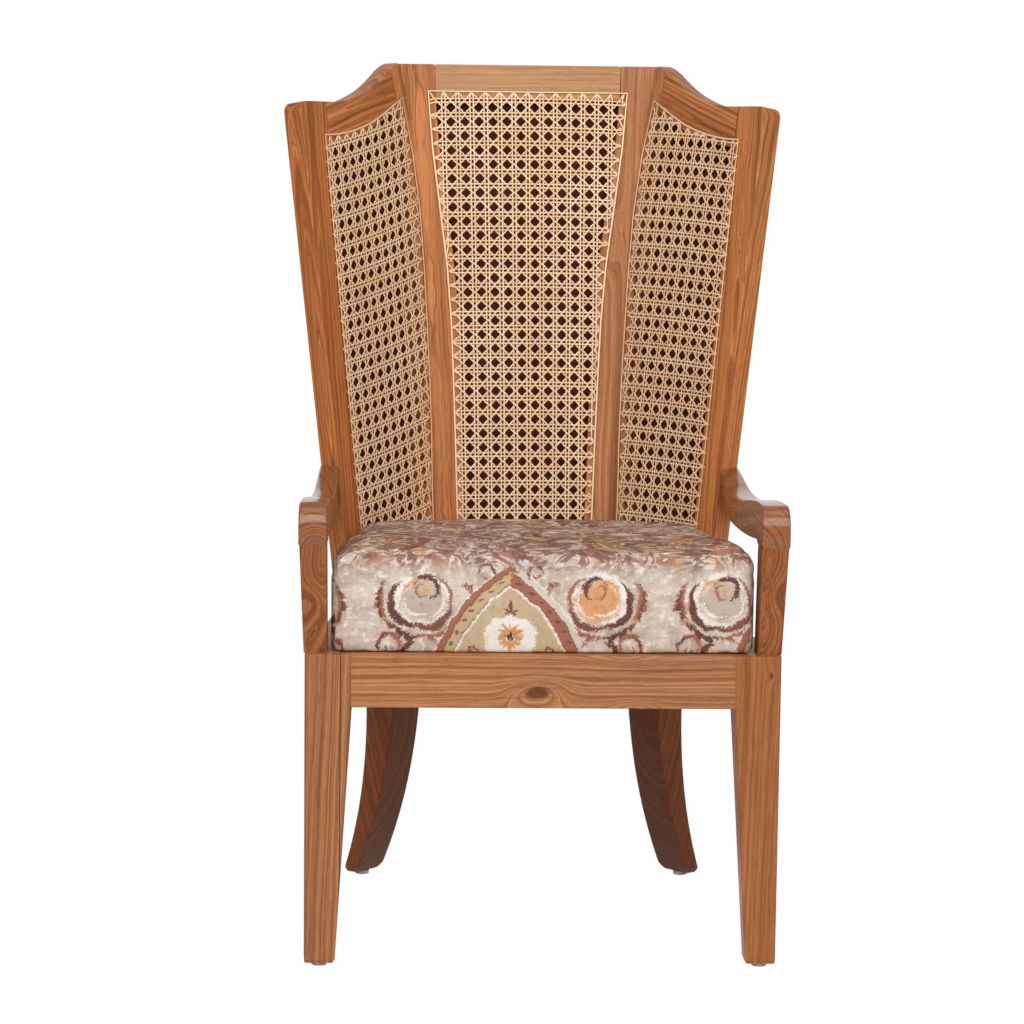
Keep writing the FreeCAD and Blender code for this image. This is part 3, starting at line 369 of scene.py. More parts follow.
teak_light = srgb(190, 130, 88)
teak_dark = srgb(112, 62, 34)
wooden("front_seat_rail", teak(
    "teak_front_rail", (1.0, 0.006, 0.010), (0.0, -0.315, 0.300), srgb(196, 138, 94), srgb(112, 60, 32),
    ring=0.0112, wander=0.022, knots=(
        ((-0.008, -0.3357, 0.337), 0.0145, -0.042, 1.9, 0.95),
        ((0.108, -0.3357, 0.316), 0.0110, -0.024, 2.0, 0.60),
        ((0.100, -0.3357, 0.386), 0.0140, 0.016, 2.6, 0.0),
    ),
), easing=0.0014)


# The other seat rails, behind the legs and under the wings: plain square teak,
# doweled into the legs and stiles, seen only from the side and from behind.

for side, sign in (("left", -1), ("right", 1)):
    wooden("side_seat_rail_" + side, teak(
        "teak_side_rail_" + side, (-0.02 * sign, 1.0, 0.01), (sign * 0.25, 0.0, 0.31), teak_light, teak_dark,
    ))
    wooden("corner_seat_rail_" + side, teak(
        "teak_corner_rail_" + side, (0.62 * sign, -0.785, 0.0), (sign * 0.17, 0.20, 0.30),
        teak_light, teak_dark,
    ))
wooden("rear_seat_rail", teak(
    "teak_rear_rail", (1.0, 0.0, -0.02), (0.0, 0.25, 0.31), teak_light, teak_dark,
))


# Front legs: two pieces of teak glued face to face, square, their inner faces
# tapered to the foot, with the arm posts standing on them.

wooden("front_leg_left", teak(
    "teak_front_leg_left", (0.035, 0.012, 1.0), (-0.287, -0.318, 0.2), srgb(182, 122, 80), srgb(106, 58, 32),
    ring=0.0170, wander=0.018, bands=0.4, seam=-0.2438,
), easing=0.0016, foot=0.004)
wooden("front_leg_right", teak(
    "teak_front_leg_right", (0.012, 0.02, 1.0), (0.305, -0.312, 0.2), srgb(180, 114, 68), srgb(120, 66, 34),
    ring=0.0150, wander=0.014, knots=(((0.2742, -0.3357, 0.3578), 0.006, 0.006, 1.4, 0.9),), bands=0.35,
), easing=0.0016, foot=0.004)


# Rear legs: teak sawn to a sabre sweep, lapped under the corner rails and screwed to them.
# Their colours are painted darker than the front legs' as painted shade, for the shade under the seat.

wooden("rear_leg_left", teak(
    "teak_rear_leg_left", (-0.16, 0.20, 1.0), (-0.185, 0.150, 0.2), srgb(150, 84, 44), srgb(76, 35, 15),
    ring=0.0170, wander=0.018, bands=0.3, knots=(((-0.237, 0.197, 0.034), 0.013, 0.022, 1.6, 0.7),),
), easing=0.0020, steps=3, foot=0.009)
wooden("rear_leg_right", teak(
    "teak_rear_leg_right", (0.20, 0.24, 1.0), (0.165, 0.165, 0.2), srgb(146, 82, 42), srgb(74, 35, 15),
    ring=0.0170, wander=0.016, bands=0.3,
), easing=0.0020, steps=3, foot=0.009)


# Inner stiles, between the centre panel and the wings: one teak plank each, its
# front faceted where the wing begins.

wooden("inner_stile_left", teak(
    "teak_inner_stile_left", (-0.05, 0.085, 1.0), (-0.118, 0.236, 0.7), srgb(206, 136, 84), srgb(136, 78, 42),
    ring=0.0100, wander=0.014, bands=0.4,
))
wooden("inner_stile_right", teak(
    "teak_inner_stile_right", (0.03, 0.085, 1.0), (0.110, 0.262, 0.7), srgb(190, 130, 88), srgb(126, 74, 44),
    ring=0.0105, wander=0.026, bands=0.4, knots=(
        ((0.112, 0.288, 0.880), 0.016, 0.020, 3.0, 0.0),
    ),
))


# Outer stiles of the wings: planks on edge, rounded at the top outer corner,
# with the arms let into their outer faces.

wooden("outer_stile_left", teak(
    "teak_outer_stile_left", (-0.10, 0.10, 1.0), (-0.262, 0.118, 0.7), srgb(204, 126, 70), srgb(112, 56, 26),
    ring=0.0088, wander=0.018, knots=(((-0.262, 0.118, 0.955), 0.014, 0.024, 4.5, 0.0),),
), easing=0.0022, steps=3)
wooden("outer_stile_right", teak(
    "teak_outer_stile_right", (0.07, 0.10, 1.0), (0.300, 0.135, 0.7), srgb(214, 138, 80), srgb(118, 62, 28),
    ring=0.0082, wander=0.016,
), easing=0.0022, steps=3)


# Top rails: teak, sawn to a scoop over each wing and level over the centre panel,
# doweled between the stiles.

wooden("wing_top_rail_left", teak(
    "teak_wing_top_left", (0.58, 0.785, 0.30), (-0.225, 0.235, 1.035), srgb(206, 132, 78), srgb(92, 46, 22),
    ring=0.0100, wander=0.022,
), easing=0.0022, steps=3)
wooden("wing_top_rail_right", teak(
    "teak_wing_top_right", (-0.58, 0.785, 0.34), (0.235, 0.215, 1.030), srgb(204, 132, 80), srgb(96, 50, 24),
    ring=0.0095, wander=0.020,
), easing=0.0022, steps=3)
# The centre top rail's colours are paler than the other rails': partly the rail's own tone, partly painted
# sheen of the front light on its back-leaning face.
wooden("centre_top_rail", teak(
    "teak_centre_top", (1.0, 0.01, 0.008), (0.0, 0.335, 1.110), srgb(192, 146, 104), srgb(146, 98, 62),
    ring=0.0070, bands=0.3,
), easing=0.0016)


# Bottom rails of the three panels: plain teak, doweled between the stiles, low
# behind the cushion.

wooden("centre_bottom_rail", teak(
    "teak_centre_bottom", (1.0, 0.0, 0.01), (0.0, 0.30, 0.39), teak_light, teak_dark,
))
for side, sign in (("left", -1), ("right", 1)):
    wooden("wing_bottom_rail_" + side, teak(
        "teak_wing_bottom_" + side, (0.62 * sign, -0.785, 0.0), (sign * 0.19, 0.22, 0.40),
        teak_light, teak_dark,
    ))


# Arms: shaped from thick teak, scooped along the top, with a round knuckle over
# the post. The posts are square and stand on the front legs.

for side, sign in (("left", -1), ("right", 1)):
    wooden("arm_" + side, teak(
        "teak_arm_" + side, (0.06 * sign, 1.0, 0.05), (sign * 0.268, -0.2, 0.505), srgb(166, 102, 60),
        srgb(88, 44, 22), ring=0.0085, wander=0.018, gloss=0.8,
    ), easing=0.0026, steps=3)
wooden("arm_post_left", teak(
    "teak_arm_post_left", (0.16, 0.10, 1.0), (-0.262, -0.325, 0.42), srgb(170, 106, 60), srgb(90, 46, 22),
    ring=0.0080, wander=0.026, knots=(((-0.280, -0.332, 0.440), 0.016, 0.018, 1.8, 0.0),),
), easing=0.0012)
wooden("arm_post_right", teak(
    "teak_arm_post_right", (0.05, 0.12, 1.0), (0.282, -0.318, 0.45), srgb(166, 100, 58), srgb(96, 50, 24),
    ring=0.0076, wander=0.022, knots=(((0.276, -0.332, 0.455), 0.018, 0.016, 1.6, 0.0),),
), easing=0.0012)


# Boards behind the cane: thin board, sealed, let into rebates of the frame from behind, one for each panel.
# Their dark colour is painted shade, for the dark seen through the openings of the cane.

def painted_shade_board():
    """Satin board with faint grain, its dark colour painted shade for the dark behind the cane."""
    material, wire, out = new_material("board_painted_shade")
    here = wire.node("TexCoord", output="Object")
    grain = here.vector("MULTIPLY", here, (1.0, 1.0, 0.04)).noise(240.0, 4.0, 0.6)
    cloud = here.noise(9.0, 3.0, 0.5)
    colour = grain.between(0.3, 0.75).tint(srgb(100, 52, 35), srgb(76, 38, 24))
    colour = (cloud.between(0.4, 0.8) * 0.4).tint(colour, srgb(112, 64, 46))
    surface(wire, out, {
        "Base Color": colour, "Roughness": 0.5 + grain * 0.1, "Specular IOR Level": 0.12,
    }, bump=grain, depth=0.0001)
    return material


board_shade_finish = painted_shade_board()
for name in ("back_board_centre", "back_board_wing_left", "back_board_wing_right"):
    panel_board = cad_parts[name]
    panel_board.data.materials.clear()
    panel_board.data.materials.append(board_shade_finish)


# Cane panels: split cane woven by hand in six steps, upright and level pairs and
# two slanting strands, each strand drawn into a hole of the frame at its ends.

def split_cane(name, light, dark):
    """Glossy split cane, each strand a little different in tone, with fine fibres and painted shade along its
    edges.
    """
    material, wire, out = new_material(name)
    tone = wire.node("Attribute", {"attribute_name": "strand_tone"}, output="Fac")
    along = wire.node("UVMap", {"uv_map": "UVMap"})
    here = wire.node("TexCoord", output="Object")
    fibre = along.vector("MULTIPLY", along, (6.0, 90.0, 0.0)).noise(1.0, 3.0, 0.6)
    patch = here.noise(38.0, 3.0, 0.6)
    colour = tone.tint(light, dark)
    colour = (patch.between(0.45, 0.75) * 0.45).tint(colour, dark)
    colour = (fibre.between(0.5, 0.8) * 0.25).tint(colour, srgb(150, 104, 70))
    # Painted shade: each strand darkens towards its edges, where it lies against the next.
    across = along.vector("DOT_PRODUCT", along, (0.0, 2.0, 0.0), output=1)
    beside = across.math("FRACT", across) - 0.5
    colour = (beside.math("ABSOLUTE", beside).between(0.14, 0.36) * 0.75).tint(colour, srgb(138, 88, 54))
    surface(wire, out, {
        "Base Color": colour, "Roughness": 0.36 + patch * 0.2, "Coat Weight": 0.25, "Coat Roughness": 0.2,
        "Specular IOR Level": 0.5,
    }, bump=fibre, depth=0.00008)
    return material


class Panel:
    """The plane of a cane panel: along it, up it and back from it."""

    def __init__(self, sign, turn, lean, root):
        sine, cosine = math.sin(math.radians(turn)), math.cos(math.radians(turn))
        tip, rise = math.sin(math.radians(lean)), math.cos(math.radians(lean))
        behind = Vector((sign * sine, cosine, 0))
        self.along = Vector((sign * cosine, -sine, 0))
        self.up = Vector((0, 0, rise)) + behind * tip
        self.back = behind * rise - Vector((0, 0, tip))
        self.root = Vector(root)

    def point(self, s, t, depth):
        return self.root + self.along * s + self.up * t + self.back * depth

    def outline(self, node):
        """Corners of the panel's CAD sheet in its plane, in order."""
        bm = bmesh.new()
        bm.from_mesh(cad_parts[node].data)
        bmesh.ops.remove_doubles(bm, verts=bm.verts, dist=0.00001)
        bmesh.ops.dissolve_limit(bm, angle_limit=0.002, verts=bm.verts, edges=bm.edges)
        ends = {}
        for face in bm.faces:
            if abs(face.normal.dot(self.back)) > 0.1 or max(e.calc_length() for e in face.edges) < 0.008:
                continue
            for edge in face.edges:
                low, high = (self.flat(vert.co) for vert in edge.verts)
                if low[2] < -0.001 and high[2] < -0.001:
                    key_low = (round(low[0], 5), round(low[1], 5))
                    key_high = (round(high[0], 5), round(high[1], 5))
                    ends.setdefault(key_low, set()).add(key_high)
                    ends.setdefault(key_high, set()).add(key_low)
        bm.free()
        start = max(ends)
        loop, last = [start], None
        while True:
            onward = [key for key in ends[loop[-1]] if key != last]
            last = loop[-1]
            if onward[0] == start or len(loop) > len(ends):
                break
            loop.append(onward[0])
        return np.array(loop)

    def flat(self, place):
        """A point as along, up and back."""
        rel = place - self.root
        return rel.dot(self.along), rel.dot(self.up), rel.dot(self.back)


def inside(outline, points):
    """True for the points within an outline, and their distance from it."""
    start, stop = outline, np.roll(outline, -1, axis=0)
    way = stop - start
    rel = points[:, None, :] - start[None]
    share = np.clip((rel * way).sum(2) / (way * way).sum(1), 0, 1)
    gap = np.sqrt(((rel - share[..., None] * way) ** 2).sum(2)).min(1)
    rises = (start[:, 1] > points[:, None, 1]) != (stop[:, 1] > points[:, None, 1])
    slope = way[:, 0] * (points[:, None, 1] - start[:, 1]) / np.where(way[:, 1] == 0, 1e-12, way[:, 1])
    crossings = (rises & (points[:, None, 0] < start[:, 0] + slope)).sum(1)
    return crossings % 2 == 1, gap


# The weave in metres, and its split and sway in shares of the spacing of the holes.
strand_half_wide, strand_half_thick = 0.00118, 0.00042
rim_half_wide, rim_half_thick, rim_lift = 0.0014, 0.0005, 0.0009
weave_depth, hole_depth = -0.0015, 0.0006
pair_wave, slant_wave = 0.00048, 0.00085
hole_margin = 0.0046
pair_split, slant_sway = 0.124, 0.029


def ribbon_mesh(name, strands, closed=False, half_wide=strand_half_wide, half_thick=strand_half_thick):
    """Flat strips of cane along lines, as one mesh, and the number of points of each."""
    curve = bpy.data.curves.new(name, "CURVE")
    curve.dimensions, curve.twist_mode = "3D", "Z_UP"
    curve.extrude, curve.bevel_depth, curve.bevel_resolution = half_wide - half_thick, half_thick, 0
    for line in strands:
        spline = curve.splines.new("POLY")
        spline.points.add(len(line) - 1)
        spline.use_cyclic_u = closed
        for point, place in zip(spline.points, line):
            point.co = (*place, 1.0)
            point.tilt = math.pi / 2
    holder = placed(name, curve)
    depsgraph = bpy.context.evaluated_depsgraph_get()
    mesh = bpy.data.meshes.new_from_object(holder.evaluated_get(depsgraph), depsgraph=depsgraph)
    bpy.data.objects.remove(holder)
    return mesh


def toned(mesh, counts, seed):
    """Gives each strand its own tone."""
    rng = np.random.default_rng(seed)
    around = len(mesh.vertices) // sum(counts)
    tones = np.repeat(rng.uniform(0.0, 0.75, len(counts)), np.array(counts) * around)
    mesh.attributes.new("strand_tone", "FLOAT", "POINT").data.foreach_set("value", tones)


def woven(name, node, panel, lattice, columns, rows, seed, material):
    """The strands of one panel, laid on the lattice of its holes."""
    outline = panel.outline(node)
    rng = np.random.default_rng(seed)

    def laid(u, v):
        terms = np.stack([np.ones_like(u), u, v, u * v, v * v, u * u], 1)
        return terms @ np.array(lattice).T / 1000

    def run(lines_u, lines_v, heights):
        """The part of a strand within the panel, drawn into the nearest holes."""
        flat = laid(lines_u, lines_v)
        held, gap = inside(outline, flat)
        held &= gap > hole_margin
        if held.sum() < 4:
            return None
        first, last = np.flatnonzero(held)[[0, -1]]
        body = [(*flat[k], weave_depth + heights[k]) for k in range(first, last + 1)]
        for end, step in ((0, -1), (-1, 1)):
            edge = np.array(body[end][:2])
            inner = np.array(body[end - 3 * step if step > 0 else 3][:2])
            way = (edge - inner) / np.linalg.norm(edge - inner)
            aim = edge + way * hole_margin
            hole = holes[np.argmin(((holes - aim) ** 2).sum(1))]
            middle = edge + (hole - edge) * 0.7
            tail = [(*middle, weave_depth - 0.0001), (*hole, hole_depth)]
            body = tail[::-1] + body if end == 0 else body + tail
        return body

    # holes of the frame: where the middle lines of the pairs meet the outline
    holes = []
    fine = np.linspace(-0.5, 0.5, 1201)
    for lines, span, flip in ((columns, rows, False), (rows, columns, True)):
        for k in range(lines[0], lines[1] + 1):
            sweep = fine * (span[1] - span[0] + 4) + (span[0] + span[1]) / 2
            fixed = np.full_like(sweep, k + 0.5)
            flat = laid(sweep, fixed) if flip else laid(fixed, sweep)
            held, _ = inside(outline, flat)
            if held.any():
                holes += [flat[np.flatnonzero(held)[0]], flat[np.flatnonzero(held)[-1]]]
    holes = np.array(holes)

    strands = []
    wave = np.array([-2 * pair_split, -pair_split, 0, pair_split, 2 * pair_split, 0.5])
    for lines, span, flip in ((columns, rows, False), (rows, columns, True)):
        for k in range(lines[0] - 1, lines[1] + 2):
            for half in (-1, 1):
                free = np.concatenate([j + 0.5 + wave for j in range(span[0] - 2, span[1] + 3)])
                fixed = np.full_like(free, k + 0.5 + half * pair_split)
                swing = np.sin(np.pi * wave / (2 * pair_split)) * (np.abs(wave) < 0.3)
                swings = np.tile(swing, len(free) // len(wave))
                heights = swings * half * pair_wave * (1 if flip else -1)
                strands.append(run(free, fixed, heights) if flip else run(fixed, free, heights))
    reach = columns[1] - columns[0] + rows[1] - rows[0] + 6
    middle_u, middle_v = sum(columns) // 2, sum(rows) // 2
    for slant in (-1, 1):
        for k in range(-reach, reach + 1):
            u = np.arange(columns[0] - 2, columns[1] + 3, 0.25)
            v = middle_v - slant * (u - middle_u) + k + 0.5
            sway = np.sin(2 * np.pi * u) * slant_sway * rng.uniform(0.1, 1.7, len(u))
            strands.append(run(u - sway, v - slant * sway, np.cos(2 * np.pi * u) * slant_wave * slant))
    strands = [line for line in strands if line]
    mesh = ribbon_mesh(name, strands)
    toned(mesh, [len(line) for line in strands], seed)
    turned = Matrix((panel.along, panel.up, panel.back)).transposed().to_4x4()
    mesh.transform(Matrix.Translation(panel.root) @ turned)
    finish_cane(name, node, mesh, material, turned)

    # binder over the holes, round the whole panel
    rim = [(*place, weave_depth - rim_lift) for place in outline]
    rim_mesh = ribbon_mesh(name + "_rim", [rim], True, rim_half_wide, rim_half_thick)
    toned(rim_mesh, [len(rim)], seed)
    rim_mesh.transform(Matrix.Translation(panel.root) @ turned)
    binder = node.replace("cane", "binder")
    finish_cane(binder + "_strip", binder, rim_mesh, material, turned)


def finish_cane(name, node, mesh, material, turned):
    """Outward faces, the cane's look, and its place in the chair."""
    mesh.materials.clear()
    mesh.materials.append(material)
    bm = bmesh.new()
    bm.from_mesh(mesh)
    if turned.determinant() < 0:
        bmesh.ops.reverse_faces(bm, faces=bm.faces)
    for face in bm.faces:
        face.smooth = True
    bm.to_mesh(mesh)
    bm.free()
    piece = placed(name, mesh)
    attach(piece, "root")
    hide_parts(node)


# Each lattice gives a crossing's place along and up its panel, in millimetres, as
# terms of 1, u, v, uv, vv and uu, where u counts the columns and v the rows.
cane_finish = split_cane("split_cane", srgb(250, 216, 176), srgb(224, 176, 132))
centre_panel = Panel(1, 0.0, 4.83, (0, 0.24427, 0.382))
woven("cane_centre_strands", "cane_centre", centre_panel, (
    (-24.38, 18.37, -0.288, 0.055, -0.002, -0.022), (398.45, 0.139, 19.374, -0.005, 0.003, -0.045),
), (-7, 10), (-18, 15), 3, cane_finish)
left_panel = Panel(-1, 51.7, 6.7, (-0.130, 0.21287, 0.382))
woven("cane_left_strands", "cane_wing_left", left_panel, (
    (123.07, 17.41, 0.081, -0.027, -0.003, -0.039), (606.92, -3.277, 19.20, -0.017, 0.004, 0.113),
), (-10, 1), (-29, 3), 5, cane_finish)
right_panel = Panel(1, 51.7, 6.7, (0.130, 0.21287, 0.382))
woven("cane_right_strands", "cane_wing_right", right_panel, (
    (122.77, 18.39, 0.82, -0.075, 0.016, 0.067), (619.31, -1.728, 18.71, -0.036, -0.009, -0.075),
), (-10, 2), (-29, 3), 7, cane_finish)


# Hidden inside the seat: plywood board on cleats, corner blocks, dowels, screws
# and the four foot glides.

def raw_wood(name, light, dark):
    """Plain unfinished wood with short streaks."""
    material, wire, out = new_material(name)
    here = wire.node("TexCoord", output="Object")
    grain = here.vector("MULTIPLY", here, (0.05, 1.0, 1.0)).noise(300.0, 4.0, 0.65)
    surface(wire, out, {
        "Base Color": grain.between(0.3, 0.75).tint(light, dark), "Roughness": 0.72 + grain * 0.1,
    }, bump=grain, depth=0.0002)
    return material


def dressed(names, material):
    """CAD pieces that keep their shape and get this finish."""
    for name in names:
        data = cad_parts[name].data
        data.materials.clear()
        data.materials.append(material)


dressed(("seat_board",), raw_wood("plywood", srgb(214, 182, 140), srgb(176, 140, 98)))
dressed(
    ("seat_cleats", "corner_block_left", "corner_block_right", "frame_dowels", "arm_dowels"),
    raw_wood("hidden_wood", srgb(200, 160, 116), srgb(150, 108, 70)),
)

material, wire, out = new_material("zinc_steel")
brushed = wire.node("TexCoord", output="Object").noise(900.0, 2.0, 0.5)
surface(wire, out, {"Base Color": srgb(190, 190, 186), "Metallic": 1.0, "Roughness": 0.3 + brushed * 0.2})
dressed(("block_screws", "rear_leg_screws"), material)

material, wire, out = new_material("glide_nylon")
scuffs = wire.node("TexCoord", output="Object").noise(420.0, 3.0, 0.6)
surface(wire, out, {
    "Base Color": scuffs.between(0.4, 0.7).tint(srgb(236, 235, 230), srgb(206, 204, 198)),
    "Roughness": 0.4 + scuffs * 0.2,
}, bump=scuffs, depth=0.0001)
dressed(("front_glide_left", "front_glide_right", "rear_glide_left", "rear_glide_right"), material)


# Loose seat cushion: a foam block in a boxed cover of printed cotton, cut wide at
# the front and narrow between the wings. The print runs from the front up over
# the top; the side bands are sewn in along the upper edges.

def flattened(piece):
    """Applies the modifiers of a piece to its mesh."""
    depsgraph = bpy.context.evaluated_depsgraph_get()
    mesh = bpy.data.meshes.new_from_object(piece.evaluated_get(depsgraph), depsgraph=depsgraph)
    piece.modifiers.clear()
    piece.data = mesh


seat_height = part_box("seat_board")[1][2] + 0.0004
box_high, crown, rear_fall = 0.1180, 0.0050, 0.018
front_y, side_y, rear_y = -0.3187, 0.0640, 0.2340
front_half, side_half, rear_half = 0.2575, 0.2270, 0.1110
upright_radius, top_radius, under_radius = 0.020, 0.021, 0.005
widths = ((front_half, front_y), (side_half, side_y), (rear_half, rear_y))
plan = [(-front_half, front_y)] + list(widths) + [(-half, y) for half, y in widths[:0:-1]]
bm = bmesh.new()
base = bm.faces.new([bm.verts.new((x, y, seat_height)) for x, y in plan])
risen = bmesh.ops.extrude_face_region(bm, geom=[base])["geom"]
bmesh.ops.translate(bm, verts=[g for g in risen if isinstance(g, bmesh.types.BMVert)], vec=(0, 0, box_high))
bmesh.ops.recalc_face_normals(bm, faces=bm.faces)


def rounded(edges, radius, count):
    """Rounds edges of the box."""
    bmesh.ops.bevel(
        bm, geom=edges, offset=radius, offset_type="OFFSET", segments=count,
        profile=0.5, affect="EDGES", material=-1,
    )


def level_edges(height):
    """Edges of the box that lie at a height."""
    return [edge for edge in bm.edges if all(abs(vert.co.z - height) < 1e-5 for vert in edge.verts)]


upright_edges = [edge for edge in bm.edges if abs(edge.verts[0].co.z - edge.verts[1].co.z) > 0.01]
rounded(upright_edges, upright_radius, 5)
rounded(level_edges(seat_height + box_high), top_radius, 5)
rounded(level_edges(seat_height), under_radius, 2)
cover_mesh = bpy.data.meshes.new("cushion_cover")
bm.to_mesh(cover_mesh)
bm.free()
cushion = placed("cushion_cover", cover_mesh)
grid_step = 0.0052
grid = cushion.modifiers.new("even_grid", "REMESH")
grid.mode, grid.voxel_size = "VOXEL", grid_step
flattened(cushion)


def coordinates(mesh):
    """Places of the points of a mesh."""
    spots = np.empty(len(mesh.vertices) * 3)
    mesh.vertices.foreach_get("co", spots)
    return spots.reshape(-1, 3)


rest = coordinates(cushion.data)
half_wide = np.interp(rest[:, 1], (front_y, side_y, rear_y), (front_half, side_half, rear_half))
middle_y, half_deep = (front_y + rear_y) / 2, (rear_y - front_y) / 2
across_share = np.clip(1 - (rest[:, 0] / half_wide) ** 2, 0, 1)
along_share = np.clip(1 - ((rest[:, 1] - middle_y) / half_deep) ** 2, 0, 1)
height_share = np.clip((rest[:, 2] - seat_height) / box_high, 0, 1)
rest[:, 2] += crown * across_share ** 0.6 * along_share ** 0.6 * height_share
corner_high, corner_y, corner_reach, fall_from = 0.011, -0.24, 0.10, 0.03
near_corner = np.exp(-((rest[:, 1] - corner_y) / corner_reach) ** 2)
rest[:, 2] += corner_high * (rest[:, 0] / half_wide) ** 2 * near_corner * height_share
rest[:, 2] -= rear_fall * np.clip((rest[:, 1] - fall_from) / (rear_y - fall_from), 0, 1) ** 1.4 * height_share
cushion.data.vertices.foreach_set("co", rest.reshape(-1))
cloth = cushion.modifiers.new("fill", "CLOTH")
cloth.settings.use_pressure = True
cloth.settings.uniform_pressure_force = 4.0
cloth.settings.quality = 6
cloth.settings.mass = 0.25
cloth.settings.tension_stiffness = cloth.settings.compression_stiffness = 12
cloth.settings.effector_weights.gravity = 0
for number in range(1, 21):
    scene.frame_set(number)
flattened(cushion)
scene.frame_set(1)
swollen = coordinates(cushion.data)
outward = np.empty(rest.size)
cushion.data.vertices.foreach_get("normal", outward)
outward = outward.reshape(-1, 3)
moved = swollen - rest
inward_damping, swell_cap = 0.85, 0.0030
moved -= inward_damping * np.minimum((moved * outward).sum(1), 0)[:, None] * outward
length = np.linalg.norm(moved, axis=1, keepdims=True)
swollen = rest + moved * np.minimum(1.0, swell_cap / np.maximum(length, 1e-9))

# soft creases at the front corners, and the pull of the seams along the upper edges
crease_long, crease_wide = 0.030, 0.0035
for side in (-1, 1):
    for height, slope, depth in ((0.040, 0.16, 0.0016), (0.058, -0.10, 0.0010), (0.074, 0.22, 0.0012)):
        run = np.abs(swollen[:, 0] - side * front_half)
        gap = swollen[:, 2] - seat_height - height - slope * run
        fade = np.exp(-(run / crease_long) ** 2) * (swollen[:, 1] < front_y + crease_long)
        swollen[:, 1] += depth * fade * np.exp(-(gap / crease_wide) ** 2)
seam_below, seam_wide, seam_pull, widest_half = 0.022, 0.003, 0.0016, 0.2592
seam_gap = np.abs(swollen[:, 2] - seat_height - box_high + seam_below)
at_side = np.abs(swollen[:, 0]) / half_wide > 0.93
swollen[:, 0] -= np.sign(swollen[:, 0]) * seam_pull * np.exp(-(seam_gap / seam_wide) ** 2) * at_side
swollen[:, 0] = np.clip(swollen[:, 0], -widest_half, widest_half)
swollen[:, 2] = np.maximum(swollen[:, 2], seat_height)
cushion.data.vertices.foreach_set("co", swollen.reshape(-1))
cushion.data.update()

print_map = cushion.data.uv_layers.new(name="print")
for face in cushion.data.polygons:
    face.use_smooth = True
    side_face = abs(face.normal.x) > 0.72
    for corner in face.loop_indices:
        place = cushion.data.vertices[cushion.data.loops[corner].vertex_index].co
        run = place.y - front_y
        if side_face:
            print_map.data[corner].uv = (math.copysign(front_half + run, place.x), place.z - seat_height)
        else:
            print_map.data[corner].uv = (place.x, place.z - seat_height + run)
sub = cushion.modifiers.new("smooth_cover", "SUBSURF")
sub.levels = sub.render_levels = 1
flattened(cushion)


